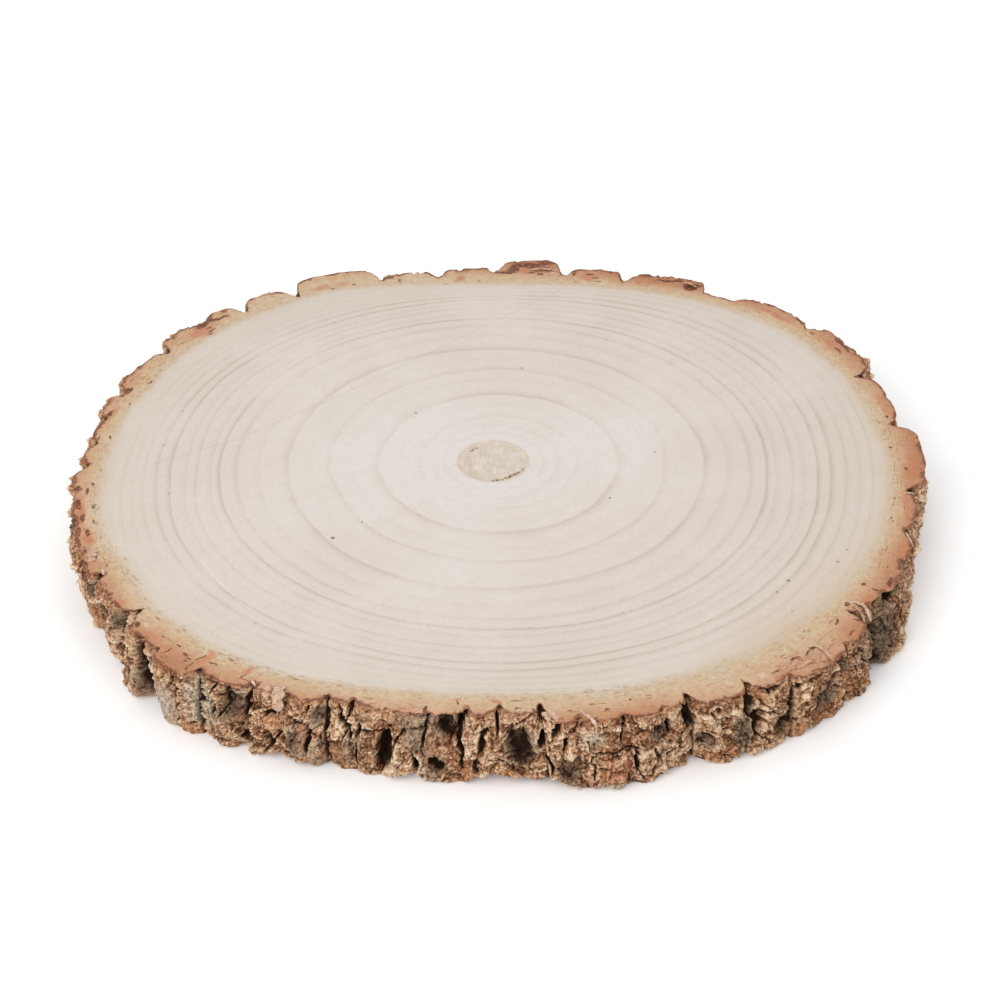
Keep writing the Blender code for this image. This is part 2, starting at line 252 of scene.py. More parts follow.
# Thin cracks, each a chain of (angle, height)
CRACKS = [
    [(224.3, 25.5), (224.1, 20), (224.4, 12), (224.2, 2)],
    [(228.1, 24.5), (228.3, 16), (228.0, 8), (228.4, 1)],
    [(231.4, 15.5), (232.2, 13.6), (233.1, 8.5), (233.2, 0)],
    [(233.6, 23.5), (233.1, 19), (233.8, 15.5), (233.2, 12)], [(235, 24), (235.4, 17), (234.6, 12.6)],
    [(242.5, 11), (241, 3)], [(243.2, 20), (244.6, 17.2), (246.0, 17.6), (247, 14.6)],
    [(248.4, 26), (248.2, 19), (247.6, 12), (248.6, 3)], [(251.4, 26), (251.0, 20), (250.2, 12)],
    [(252.4, 16.6), (254.2, 16.9), (256.2, 16.2)], [(251.9, 12), (251.6, 5), (252.0, 0)],
    [(261.6, 25), (261.3, 21), (261.7, 15)], [(258.5, 18.5), (257.6, 15), (257.2, 9)],
    [(272.3, 21.5), (273.6, 23.6), (275.4, 25.6)], [(269.8, 10.5), (271.5, 8.6), (272.6, 6.6)],
    [(266.6, 25.5), (266.2, 19)],
    [(281.6, 10.5), (282.3, 13.4), (283.3, 14.6), (285.1, 13.6), (286.9, 14.6), (288.2, 13.9)],
    [(282.2, 9.5), (282.0, 5)], [(288.0, 13.5), (287.7, 8), (288.6, 2.5)], [(286.4, 24.5), (286.2, 17.5)],
    [(293.9, 10.9), (292.3, 8.6), (291.4, 6.6)], [(294.6, 26), (295.2, 22)],
    [(296.8, 14.2), (297.6, 13.6), (299.3, 14.6), (300.8, 16)], [(290, 13), (290.6, 8), (289.6, 3)],
    [(301.9, 25.6), (302.4, 17), (303.4, 9), (304.6, 3)], [(305, 25.8), (306.8, 23)],
    [(310, 15.4), (311.6, 16.6)], [(308.9, 8), (310.6, 9.4)], [(312.8, 19.6), (312.3, 13)],
    [(315.6, 14.8), (316.6, 12.4), (317.6, 11), (319.2, 10.6), (320.1, 13.2), (319.5, 17.5)],
    [(320.4, 22), (321.2, 16), (322.4, 10)], [(329.2, 21), (328.6, 14)],
    [(304, 16), (305.6, 15.2), (306.6, 12)],
]  # fmt: skip
# How high the foot has crumbled away: (angle, mm)
FOOT_GAPS = np.array((
    (0, 1), (20, 2.5), (31, 0.5), (49, 3), (66, 1), (78, 3.5), (90, 1), (110, 3), (124, 1), (140, 2.5),
    (161, 3), (180, 1), (195, 2), (206, 1), (219, 0), (222, 5), (223, 7), (224, 8.4), (224.5, 4),
    (225.2, 1), (226, 0), (235, 0), (237, 3), (238, 4.5), (238.4, 0.2), (239, 0.5), (241, 3), (242.6, 4.5),
    (243.6, 2.6), (245, 1.2), (248, 2.7), (248.5, 1), (249.5, 0), (253.5, 0), (256, 1.5), (257, 3),
    (259, 3.3), (261, 4.2), (261.4, 0.6), (264, 0.8), (267, 0.3), (268.6, 3), (271, 3.7), (274, 2.2),
    (276.4, 2.2), (277.1, 4.5), (279, 2.8), (280.4, 0.8), (283, 2.2), (286, 0), (289, 0), (291, 0),
    (294, 0), (295.7, 2.3), (298, 0), (301.3, 2), (303.5, 0), (308, 0), (309, 0.3), (310.9, 0),
    (311.2, 3.5), (312, 1), (313, 0), (322, 0), (323.4, 6.3), (325, 4.5), (327, 1.8), (329, 0.5), (338, 2),
    (350, 0.5),
))  # fmt: skip

# The far side: one hollow and one crack every 4.55 degrees, starting from 346 degrees
FAR_START, FAR_STEP, FAR_COUNT = 346, 4.55, 46
random = np.random.default_rng(11)
for number in range(FAR_COUNT):
    angle = (FAR_START + FAR_STEP * (number + random.uniform(0.1, 0.9))) % 360
    wide = random.uniform(1.0, 3.4)
    middle, tall, lean = random.uniform(3, 23), random.uniform(2.5, 8), random.uniform(-0.3, 0.3)
    HOLLOWS.append((angle, middle, wide, tall, lean, 2 + wide * 1.3))
    low = random.uniform(2, 18)
    drift = random.uniform(-1, 1, 3)
    bends = zip((2, 2.3, 1.8), drift, (0, 4, 7))
    CRACKS.append([(angle + side + wander, low + up) for side, wander, up in bends])
print(len(HOLLOWS), "hollows and", len(CRACKS), "cracks in the bark")

# %% [markdown]
# The two lists become depths. A hollow is a bump upside down: deepest in the middle, with a flat floor and
# steep walls, which the fourth power gives. A crack is deepest on the line through its places and has a
# round bottom. Both are worked out for every point of the bark at once, one hollow or crack after the
# other.


# %% Depth of hollows and cracks
def arc(degrees, angle):
    """Distance along the bark from an angle, in mm, the short way round."""
    return np.radians((degrees - angle + 180) % 360 - 180) * BARK_RADIUS


def hollow_depth(degrees, height):
    """Depth * exp(-q^4) for each hollow, q being the distance from its leaning middle line in half widths;
    where hollows meet, the deeper counts. In mm."""
    depth = np.zeros(np.broadcast(degrees, height).shape)
    for angle, middle, half_width, half_height, lean, deepest in HOLLOWS:
        across = (arc(degrees, angle) + lean * (height - middle)) / half_width
        up = (height - middle) / half_height
        depth = np.maximum(depth, deepest * np.exp(-((across**2 + up**2) ** 2)))
    return depth


def crack_depth(degrees, height):
    """exp(-(d / half width)^2), d being the distance in mm to the nearest piece of a crack."""
    half_width = 0.45
    nearest = np.full(np.broadcast(degrees, height).shape, 9.0)
    for chain in CRACKS:
        for (angle, low), (next_angle, high) in zip(chain[:-1], chain[1:]):
            along, rise = math.radians(next_angle - angle) * BARK_RADIUS, high - low
            x, y = arc(degrees, angle), height - low
            part = np.clip((x * along + y * rise) / (along**2 + rise**2), 0, 1)
            nearest = np.minimum(nearest, np.hypot(x - part * along, y - part * rise))
    return np.exp(-((nearest / half_width) ** 2))


print("deepest hollow", max(hollow[-1] for hollow in HOLLOWS), "mm")

# %% [markdown]
# ## The corky side
#
# Real outer bark splits twice. Growth tears it into upright plates, and drying cracks the plates across
# into blocks, then into crumbs. The side's relief is built the same way: plates from the rim, broken blocks
# from `crackle`, and crumbs from folded noise, whose creases are sharp while its lumps stay round. A few
# plates keep a smooth weathered skin.


# %% Plates, blocks and crumbs
def crumbs(turn, height, size, seed):
    """Folded noise: 2 * |noise| - 0.7 at three sizes, each half as coarse and 0.6 as strong as the last."""
    total = 0
    for layer in range(3):
        fine = size / 2**layer
        folded = 2 * np.abs(noise(turn, height / fine, round(GIRTH / fine), seed + layer)) - 0.7
        total = total + 0.6**layer * folded
    return total


def patch(degrees, height, places):
    """How far each point lies in a patch, from 0 to 1: the greatest exp(-q^4) of a list of (angle, height,
    half width, half height)."""
    inside = np.zeros(np.broadcast(degrees, height).shape)
    for angle, middle, half_width, half_height in places:
        q = (arc(degrees, angle) / half_width) ** 2 + ((height - middle) / half_height) ** 2
        inside = np.maximum(inside, np.exp(-(q**2)))
    return inside


def upright_plates(degrees, height):
    """Plates in mm: rim + (0.9 * crest - rim) * closed. Each fissure opens and closes on its way down."""
    index, share, _ = plate_at(degrees)
    rim, _ = rim_bark(degrees)
    fissure, plates = np.where(share < 0.5, index, index + 1), len(BARK_PLATES)
    opening = smoothstep(-0.5, 0.4, noise(fissure / plates, height / 6, plates, 15))
    near_side = smoothstep(190, 200, degrees % 360) * smoothstep(350, 340, degrees % 360)
    opening = 1 - (1 - opening * (1 - 0.7 * near_side)) * smoothstep(0.5, 6, THICKNESS - height)
    return rim + np.maximum(BARK_PLATES[index, 2] * 0.9 - rim, 0) * (1 - opening)


# Where the bark keeps a smooth grey skin: (angle, height, half width, half height) in mm
GREY_SKIN = [(226.2, 7.5, 4.2, 9.5), (100, 12, 6, 8), (33, 14, 5, 7), (168, 9, 5, 8)]


def broken_cork(degrees, height):
    """Relief in mm: 0.9 + smooth * (blocks + chips + grains). Each block and each chip has a random number
    of its own as its height, less a groove exp(-d^2) along its border. Returns the relief, the tone of
    block and chip, from -1.2 to 1.2, and the chip's own number."""
    turn = (degrees % 360) / 360
    bent_turn = turn + 1.5 / GIRTH * layers(turn, height, 7.0, 20)
    bent_height = height + 1.5 * layers(turn, height, 7.0, 30)
    to_crack, block = crackle(bent_turn, bent_height, (8.0, 6.5), 40)
    to_chip, chip = crackle(bent_turn, bent_height, (3.4, 2.8), 50)
    some = smoothstep(-0.3, 0.3, noise(turn, height / 9, 98, 16))
    smooth = 1 - 0.85 * patch(degrees, height, GREY_SKIN)
    blocks = 0.9 * block - 1.0 * some * np.exp(-((to_crack / 0.4) ** 2))
    chips = 0.6 * chip - 0.4 * np.exp(-((to_chip / 0.3) ** 2))
    grains = 0.7 * crumbs(bent_turn, bent_height, 4.2, 60) + 0.28 * crumbs(turn, height, 1.5, 65)
    return 0.9 + smooth * (blocks + chips + grains), smooth * (0.7 * block + 0.5 * chip), chip


print("smooth patches of bark:", len(GREY_SKIN))

# %% [markdown]
# Now the plates, the broken cork, the hollows and the cracks are put together. Just under the saw cut the
# cork is held back, so that the sawn rim keeps its clean line, and at the foot some of it has crumbled off.
# The painted shade of the hollows and cracks is kept as a number of its own, because the finish needs it
# later.


# %% The whole side
def bark_relief(degrees, height):
    """Bark outside the cambium in mm: plates - bite + foot - crumbled + kept * broken cork - cut * (hollows
    + 1.7 * cracks). kept and cut fade out towards the sawn rim. Also returns the painted shade of each point
    for lying in a hollow or a crack, from 0 to 1, and the tone of its block and chip."""
    turn, below = (degrees % 360) / 360, THICKNESS - height
    relief, tone, chip = broken_cork(degrees, height)
    wander = 0.3 * layers(turn, height, 4.0, 70) + 0.12 * noise(turn, height / 0.9, 980, 76)
    dents = hollow_depth(degrees + wander, height + 2.2 * wander)
    lines = crack_depth(degrees + wander, height + 2.2 * wander)

    worn_rim = 2.2 + 1.5 * noise(turn, height * 0, 110, 80)
    worn_foot = 1.8 + noise(turn, height * 0, 90, 81)
    kept = smoothstep(-0.1, worn_rim, below) * smoothstep(-1.5, worn_foot, height)
    cut = smoothstep(-0.1, 1.3, below)
    bite = rim_bite(degrees) * (1 - smoothstep(0, 7, below))
    foot = between(degrees, *FOOT_SPREAD.T) * smoothstep(0, 0.7, 1 - height / THICKNESS)
    gap = between(degrees, *FOOT_GAPS.T) + 0.8 * layers(turn, height * 0, 3.0, 82)
    crumbled = 1.45 * np.maximum(gap - height, 0)

    bark = upright_plates(degrees, height) - bite + foot - crumbled
    bark = bark + kept * relief - cut * (dents + 1.7 * lines)
    # Painted shade: the hollows darken with their depth, and the cracks along their lines
    hollow_shade = smoothstep(1.0, 5.6, dents + 0.8 * layers(turn, height, 2.0, 75)) * smoothstep(0.3, 1, dents)
    return np.maximum(bark, 0.8 + 0.25 * chip), cut * np.minimum(hollow_shade + 0.6 * lines, 1), tone


def leaning(degrees, height):
    """Plates don't hang quite straight: each point moves round by up to 1.6 degrees towards the foot."""
    sway = noise((degrees % 360) / 360, 0 * degrees + 0.5, 30, 3)
    return degrees + 1.6 * sway * (1 - height / THICKNESS)


def blurred(values, rows, columns):
    """Each value replaced by the mean of the window around it, worked out with running sums."""
    for axis, reach in ((0, rows), (1, columns)):
        ends = [(0, 0), (0, 0)]
        ends[axis] = (reach + 1, reach)
        sums = np.cumsum(np.pad(values, ends, mode="edge"), axis=axis)
        start, window = np.arange(values.shape[axis]), 2 * reach + 1
        values = (np.take(sums, start + window, axis=axis) - np.take(sums, start, axis=axis)) / window
    return values


sample = bark_relief(every, np.full(every.shape, 13.0))[0]
print("bark half way up:", sample.min().round(1), "to", sample.max().round(1), "mm")

# %% [markdown]
# ## From grid to mesh
#
# Every skin here is a grid: rows one way, columns the other. `skin` turns such a grid of points into a mesh
# in one go, with no loop over its corners, and stores named numbers at the corners that the materials read
# later. It also lays the grid out flat as a UV map, so that the finish can be painted onto it.


# %% Skin maker
def skin(name, points, marks, flat, wrap=False, turned=False, sections=None, folded=False, strips=1):
    """Makes a mesh object from points[row, column]. marks are named values of the same shape, flat gives
    each corner's place on the UV map, wrap joins the last column to the first, turned faces it the other
    way, sections gives each row of faces its material, folded lays the second half of the columns above the
    first on the UV map, and strips is the number of separate grids that the rows are shared out to."""
    rows, columns = points.shape[:2]
    index = np.arange(rows * columns).reshape(rows, columns)
    if wrap:
        index = np.concatenate([index, index[:, :1]], axis=1)
    joined = (np.arange(rows - 1) + 1) % (rows // strips) != 0

    def faces_of(grid):
        """The four corners of every face, in order, from values given on the grid."""
        corners = (grid[:-1, :-1], grid[:-1, 1:], grid[1:, 1:], grid[1:, :-1])
        return np.stack(corners, axis=2)[joined].reshape(-1, 4, *grid.shape[2:])

    quads, corners = faces_of(index), faces_of(flat)
    if folded:
        second = corners[:, :, 0].mean(axis=1) > 1
        corners[second] += (-1, 0.5)
        corners[:, :, 0] = 0.003 + 0.994 * corners[:, :, 0]
    if turned:
        quads, corners = quads[:, ::-1], corners[:, ::-1]

    mesh = bpy.data.meshes.new(name)
    mesh.vertices.add(rows * columns)
    mesh.vertices.foreach_set("co", points.astype(np.float32).ravel())
    mesh.loops.add(quads.size)
    mesh.loops.foreach_set("vertex_index", quads.ravel().astype(np.int32))
    mesh.polygons.add(len(quads))
    mesh.polygons.foreach_set("loop_start", np.arange(0, quads.size, 4, dtype=np.int32))
    if sections is not None:
        per_face = np.repeat(sections, index.shape[1] - 1)
        mesh.polygons.foreach_set("material_index", per_face.astype(np.int32))
    mesh.update(calc_edges=True)
    mesh.shade_smooth()
    mesh.uv_layers.new(name="OFBake").data.foreach_set("uv", corners.astype(np.float32).ravel())
    for label, values in marks.items():
        kind, field = ("FLOAT_VECTOR", "vector") if values.ndim == 3 else ("FLOAT", "value")
        store = mesh.attributes.new(label, kind, "POINT")
        store.data.foreach_set(field, values.astype(np.float32).ravel())
    made = bpy.data.objects.new(name, mesh)
    bpy.context.scene.collection.objects.link(made)
    return made


def weld(piece):
    """Joins corners that lie in the same place, so that seams and tips are closed."""
    shape = bmesh.new()
    shape.from_mesh(piece.data)
    bmesh.ops.remove_doubles(shape, verts=shape.verts, dist=0.002 * MM)
    shape.to_mesh(piece.data)
    shape.free()


def belongs(piece):
    """The piece takes the solid slice's place and moves with it."""
    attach(piece, "root")
    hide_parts("wood_slice")
    print(piece.name, "has", len(piece.data.polygons), "faces")


# %% [markdown]
# ## Growth rings
#
# Near the pith the rings are round; further out they take on the trunk's outline. So a ring's radius is its
# mean radius plus a share of the cambium's own waves, and that share grows with the sixth power of the
# radius. The rows of the sawn faces follow the rings, and each corner stores its age: how many rings lie
# inside it. The material then only needs the age to draw every ring in the right place.

# %% Rings
# (mean radius in mm, how dark the ring's line is)
RINGS = np.array((
    (0, 0), (13, 0.1), (17.5, 0.25), (22, 0.2), (28, 0.25), (35.8, 0.1), (42.8, 0.6), (53.3, 0.1),
    (59.6, 0.4), (67, 0.1), (74.2, 0.6), (83.5, 0.2), (91, 0.45), (97, 1.0), (100.5, 0.3), (106, 0.5),
    (109.5, 0.3), (114.4, 1.0), (118.6, 0.85), (123.2, 0.45), (127, 0.3), (130.5, 0.4), (134, 0.1),
    (136, 0.05),
))  # fmt: skip


def ring_radius(mean, degrees):
    """mean + (cambium - its mean) * (mean / cambium mean)^6, with a slight unevenness of its own, in mm.
    The middle rings have grown 1.9 mm wider on one side."""
    shape = (cambium(degrees) - CAMBIUM_MEAN) * (mean / CAMBIUM_MEAN) ** 6
    wider = 1.9 * np.cos(np.radians(degrees)) * smoothstep(PITH_RADIUS, 30, mean) * smoothstep(84, 62, mean)
    turn = (degrees % 360) / 360
    uneven = 0.8 * noise(turn, mean / 12, 16, 90) + 0.25 * noise(turn, mean / 6, 50, 91)
    uneven = uneven + 0.1 * noise(turn, mean / 3, 150, 92)
    uneven = uneven * smoothstep(PITH_RADIUS, 25, mean) * (1 - smoothstep(124, CAMBIUM_MEAN, mean))
    return mean + shape + wider + uneven


def ring_rows():
    """Mean radii for the rows: every ring's own, and enough between them that no step is wider than 2.2
    mm."""
    widest, borders, steps = 2.2, RINGS[1:, 0], []
    for inner, outer in zip(borders[:-1], borders[1:]):
        count = max(2, math.ceil((outer - inner) / widest) + 1)
        steps.append(np.linspace(inner, outer, count)[:-1])
    return np.append(np.concatenate(steps), borders[-1])


def ray(degrees, out):
    """A direction round the pith as cosine and sine, and how far out the point lies, so that a pattern on
    it runs out from the pith."""
    turned = np.radians(degrees)
    return np.stack(np.broadcast_arrays(np.cos(turned), np.sin(turned), out), axis=-1)


def from_above(points):
    """UV map of a flat face: seen from above, with the square of the map 320 mm wide."""
    return points[..., :2] / (320 * MM) + 0.5


around = np.linspace(0, 360, 481)[:-1]
mean_radius = ring_rows()[:, None]
print(len(RINGS) - 1, "rings on", len(mean_radius), "rows")

# %% [markdown]
# ## The border between wood and bark
#
# The tan of the inner bark doesn't start at the same distance everywhere. In places it has also spread into
# the wood, and olive flecks mark the line. Each of these is a short table of angles and values, joined up
# round the slice. The results are stored at the corners of the mesh, as numbers that the finish reads.

# %% Where the tan of the bark begins
# In mm outside the cambium line of the solid: (angle, mm)
TAN_STARTS = np.array((
    (0, -0.5), (5, -1), (10, -2.5), (20, -3), (30, -4), (40, -4.2), (50, -5.5), (55, -5.5), (65, -4.5),
    (75, -2.8), (85, -1), (95, 1), (105, 4), (115, 6.5), (120, 7.5), (130, 5), (150, 4), (160, 2),
    (165, 3.5), (180, 2), (190, 2), (200, 1), (205, -2.4), (210, -2.8), (217, -1), (222, -2.0), (230, -1),
    (240, 0), (245, -1.5), (260, -2), (280, -2.4), (290, -2.7), (295, -3.4), (300, -4), (305, -5),
    (315, -6), (320, -5.5), (330, -3.8), (335, -2.6), (340, -1.5), (350, -0.5),
))  # fmt: skip
# How fast the tan turns from yellow to orange on its way out: (angle, rate)
WARMTH = np.array((
    (0, 1.6), (20, 1.3), (45, 1.4), (60, 2.0), (75, 1.3), (90, 1.1), (105, 0.6), (130, 0.6), (142, 0.8),
    (165, 1.1), (185, 1.5), (202, 1.4), (212, 1.2), (235, 1.5), (250, 1.3), (265, 1.0), (290, 1.1),
    (298, 0.6), (316, 0.65), (328, 1.4), (345, 1.8),
))  # fmt: skip


# How flecked the border is: (angle, share)
FLECKED = np.array((
    (0, 0.15), (180, 0.3), (200, 0.8), (226, 0.95), (244, 0.8), (252, 0.2), (268, 0.2), (276, 0.8),
    (292, 0.7), (305, 0.25), (325, 0.1),
))  # fmt: skip
# How far the tan has spread into the wood: (angle, mm)
BLUSH = np.array((
    (0, 3), (60, 1.5), (160, 1.5), (200, 3), (225, 2.5), (244, 1.0), (288, 1.2), (300, 3.5), (314, 9),
    (330, 8), (345, 4),
))  # fmt: skip


def face_marks(degrees, radius, ring):
    """The numbers that the sawn face's finish reads. ring is the mean radius of the growth ring through
    each point, and age the number of rings inside it. edge is the distance outside the start of the tan in
    mm."""
    out = radius - cambium(degrees)
    marks = {
        "edge": out - between(degrees, *TAN_STARTS.T),
        "flecked": between(degrees, *FLECKED.T),
        "blush": between(degrees, *BLUSH.T),
        "warm": between(degrees, *WARMTH.T),
        "ring": ring,
        "age": np.interp(ring, RINGS[:, 0], np.arange(len(RINGS))),
        "to_edge": 20,
        "brown": 0,
        "rusty": 0,
        "pale": 0,
    }
    marks = {label: values + 0 * out for label, values in marks.items()}
    marks["ray"] = ray(degrees, out)
    return marks


print("tan starts", TAN_STARTS[:, 1].min(), "to", TAN_STARTS[:, 1].max(), "mm from the cambium line")

# %% [markdown]
# ## The two sawn faces
#
# Upper and lower face are the same grid, so one function makes both. The lower one is only turned over, so
# that its faces point down and out of the slice.


# %% The two sawn faces
def sawn_face(name, height, turned):
    """A polar grid from the pith's lip to the cambium, one row for each mean radius."""
    degrees = around[None, :]
    radius = ring_radius(mean_radius, degrees)
    points, marks = place(degrees, radius, height), face_marks(degrees, radius, mean_radius)
    flat = from_above(points)
    flat = np.concatenate([flat, flat[:, :1]], axis=1)
    return skin(name, points, marks, flat, wrap=True, turned=turned)


wood_top = sawn_face("wood_top", THICKNESS, False)
wood_under = sawn_face("wood_under", 0.0, True)
belongs(wood_top)
belongs(wood_under)

# %% [markdown]
# ## The rim of bark
#
# The bark is one strip that starts on the upper face at the cambium, runs out to the rim, turns down the
# side and comes back in underneath. Its profile is carried round the pith, and the relief moves each point
# in or out. Short marks lie on its sawn part: brown dashes and cracks, rusty stains and a few pale places.

# %% Marks on the sawn bark
# (angle, distance from the cambium, half length, half width) in mm
BROWN_MARKS = [
    (190.3, 8.6, 3.2, 1.0), (193.2, 10.6, 2.6, 1.5), (196.3, 9.2, 2.4, 1.0), (188.2, 11.2, 2.6, 1.2),
    (186.2, 9.4, 2.0, 0.8), (187.5, 6.2, 2.2, 0.4), (189.5, 9.5, 1.7, 0.5), (191, 3.3, 1.5, 0.5),
    (193.5, 7, 2.3, 0.8), (194.6, 3.3, 1.3, 0.4), (197, 6, 2, 0.6), (198.5, 10, 3.5, 0.8),
    (200.5, 8.2, 2, 0.6), (202.6, 6.2, 0.8, 0.8), (204.5, 10, 2.5, 0.7), (206.5, 7.2, 2, 0.7),
    (210.5, 7.6, 2, 0.3), (218.4, 6.9, 1.1, 1.0), (213.5, 7.4, 1.5, 0.7), (222.8, 5.2, 1.1, 0.4),
    (225.2, 8.6, 0.5, 2.0), (225.6, 4.6, 1.2, 0.3), (228.2, 8.4, 1.4, 0.3), (228, 7.2, 1.6, 0.25),
    (227.6, 6.2, 1.6, 0.25), (229.5, 10.2, 0.4, 2.4), (229.4, 5, 0.3, 2.2), (231.5, 5.2, 1.6, 0.3),
    (233, 0.2, 1.6, 0.5), (236, 5.4, 0.5, 1.2), (237.8, 6.8, 0.5, 1.4), (238.8, 6.8, 0.5, 1.2),
    (242.6, -0.8, 0.5, 1.2), (247.6, 5.8, 0.6, 1.0), (251.4, 6.6, 0.5, 1.4), (261.2, 5.4, 0.7, 1.4),
    (265.1, 2.2, 0.35, 1.4), (266.2, 6.4, 1.0, 1.4), (270.6, 6, 0.6, 2.2), (273.6, 4.2, 1.6, 0.3),
    (273.3, 0.2, 1.6, 0.35), (274.2, -0.7, 1.0, 0.3), (275.7, 5.4, 0.4, 1.6), (280.4, 5.8, 1.2, 0.3),
    (283.4, 2.9, 1.2, 0.3), (285.2, 6.6, 1.0, 0.4), (288.7, 3.2, 0.7, 0.4), (294.3, 8.4, 0.5, 1.2),
    (295, 7.2, 0.6, 0.8), (305.8, 0.3, 0.5, 0.5), (308, 7.0, 2.6, 0.4), (311.5, 6.2, 2.6, 0.7),
    (313.6, 6.4, 2.0, 0.5), (314.6, 5.4, 1.0, 0.8), (321, 2.9, 1.6, 0.4), (320.6, 9.6, 1.8, 0.5),
    (323, 8.6, 0.5, 2.6), (324.9, 1.2, 1.3, 0.9), (326, 3.8, 0.5, 2.0), (330.4, 0.9, 0.9, 0.6),
    (330.1, 6.2, 0.4, 2.6), (332.4, 8.2, 2.4, 0.9), (336.8, 10.6, 0.4, 1.8), (343.3, 9.2, 1.6, 1.9),
    (346, 1, 0.7, 0.3), (351, 1.5, 1.5, 0.35), (352.5, 9.4, 4.5, 1.2), (358, 6.0, 1.0, 0.5),
    (363.6, 1.3, 1.2, 0.5), (371, 3.4, 1.0, 0.6), (389.8, 7.2, 4.2, 0.8), (389, 3.6, 3.0, 0.3),
    (394.6, 2.8, 1.4, 0.5), (408, 6.0, 3.0, 0.4), (57, 3.2, 2.6, 2.6), (59.3, 6.8, 2.4, 1.1),
    (57, -2.6, 2.0, 0.3), (60.4, -2.2, 1.2, 0.3), (71.5, 0.4, 1.4, 0.6), (73.6, 5.8, 1.6, 0.9),
    (72.4, 3.2, 1.4, 0.5), (76, 6.2, 0.7, 1.6), (82.4, 11.4, 5.0, 0.8), (86.4, 11.2, 2.4, 1.6),
    (88, 8.2, 4.6, 1.0), (81.8, 6.4, 1.5, 0.7), (83.6, 7.4, 3.4, 0.3), (92.6, 2.8, 1.0, 0.4),
    (98.6, 2.0, 0.8, 0.5), (106.6, 8.6, 0.3, 1.8), (114.6, 9.6, 1.6, 0.35), (118.4, 9.2, 1.4, 0.5),
    (140.8, 9.2, 2.0, 0.35), (141.2, 7, 2.2, 0.35), (142, 5.6, 1.6, 0.4), (138.8, 13.0, 3.0, 0.9),
    (158.2, 3.9, 1.8, 0.5), (161.4, 8.4, 2.2, 0.9), (164.6, 4.2, 1.1, 0.3), (167.8, 9.2, 2.2, 0.7),
    (84.6, 13.6, 6.4, 1.3), (81.0, 15.2, 4.4, 1.5), (86.8, 9.6, 2.6, 0.9), (61.2, 5.4, 3.4, 1.1),
    (56.6, 5.6, 3.0, 1.5), (141.0, 12.6, 4.4, 1.6), (137.4, 11.4, 3.0, 0.8), (162.2, 9.8, 3.4, 1.3),
    (38.0, 6.0, 3.0, 1.0), (31.0, 8.0, 2.6, 1.2), (174.4, 8.4, 2.4, 0.5), (173.9, 4.2, 0.8, 0.3),
    (180, 9, 1.6, 0.5), (182, 2.7, 0.8, 0.3), (185.6, 4.4, 1.2, 0.4),
]  # fmt: skip
RUSTY_MARKS = [
    (192, 8, 9, 1.6), (198, 6.5, 6, 2.2), (204.5, 3, 1.1, 3.5), (206.6, 5.6, 1.3, 1.6),
    (213.6, 5.4, 2.0, 1.6), (221, 7.6, 4, 1.4), (225.5, 8.2, 3.2, 1.8), (230.1, 3.6, 2.0, 4.2),
    (229.8, 0.6, 1.4, 1.4), (238.1, 2.0, 1.1, 2.4), (236, 3, 1.2, 2.5), (256.5, 8.6, 5, 0.8),
    (265.2, 0.2, 1.2, 1.7), (270.6, 0.4, 2.2, 1.4), (287, 10, 5, 1.2), (308, 10.6, 4, 1.8),
    (319.5, 10.6, 4.5, 2.2), (327.6, 6, 3.2, 2.6), (330.2, 1.6, 1.2, 1.4), (340, 8, 9, 2.0),
    (350, 6.6, 10, 2.0), (358, 8, 10, 3), (374, 4.4, 8, 2.0), (391, 4.4, 7, 2.2), (402, 2, 9, 1.4),
    (410, 3, 7, 1.4), (57, 1, 3, 2.4), (64, 2, 3, 2.2), (73, 3.5, 4, 2.4), (84, 9, 6, 2.4),
    (96, 5.4, 2.4, 2.6), (106.8, 6.4, 0.8, 2.6), (118, 11, 8, 2), (142, 9, 7, 3.5), (168, 8, 5, 1.2),
    (177, 5.4, 3, 1.6),
]  # fmt: skip
PALE_MARKS = [
    (202.3, 5.6, 2.4, 1.6), (217, 6.4, 2.4, 2.2), (219.4, 5.0, 1.4, 0.8), (277.6, 7, 1.2, 2.2),
    (294.8, 9.6, 1.0, 1.0), (306, 7, 1.2, 1.2), (242, 7, 1.6, 3.6), (79.7, 7.4, 1.4, 1.1),
    (82.6, 9, 3.4, 0.4),
]  # fmt: skip
print(len(BROWN_MARKS) + len(RUSTY_MARKS) + len(PALE_MARKS), "marks on the sawn bark")

# %% [markdown]
# ## Weather on the side
#
# The side isn't one colour. Some plates have bleached grey, some have stayed dark and damp, and lichen and
# moss sit on a few of them. The dark patches also lay painted shade over many of the listed hollows. Each
# kind is a list of soft patches. The numbers go to the mesh now and become colours later, in the finish.

# %% Weather on the side
# (angle, height, half width, half height) in mm
GREY_PATCHES = [(226.2, 7.5, 4.4, 9)]
# Dark patches: partly dark damp cork, partly painted shade laid over the listed hollows
DARK_AND_PAINTED_SHADE_PATCHES = [
    (214.6, 21.5, 2.8, 5), (221.6, 12, 3.2, 10), (206.5, 20, 3, 4), (199, 16, 3, 7), (192, 20, 4, 5),
    (323.4, 14, 4, 12), (329.2, 15, 5, 11), (326.4, 5, 6, 6), (236.2, 18.5, 4.4, 7.5),
    (247.5, 21, 2.2, 3.2), (316.5, 21, 4, 2.5), (326.5, 14, 6, 12), (301, 12, 3, 8), (314, 12, 4, 7),
    (211, 17, 4, 6), (244.6, 11, 2.6, 6), (264.4, 21, 4.2, 4), (263.8, 7, 3, 3.2), (273.4, 14, 5, 7),
    (279, 8, 4, 5.5), (307.4, 7.5, 4.2, 4.6), (291, 18, 4, 3), (325.5, 12, 3.5, 5), (296.6, 10.5, 3, 3),
    (20, 12, 5, 8), (150, 14, 6, 7),
]  # fmt: skip
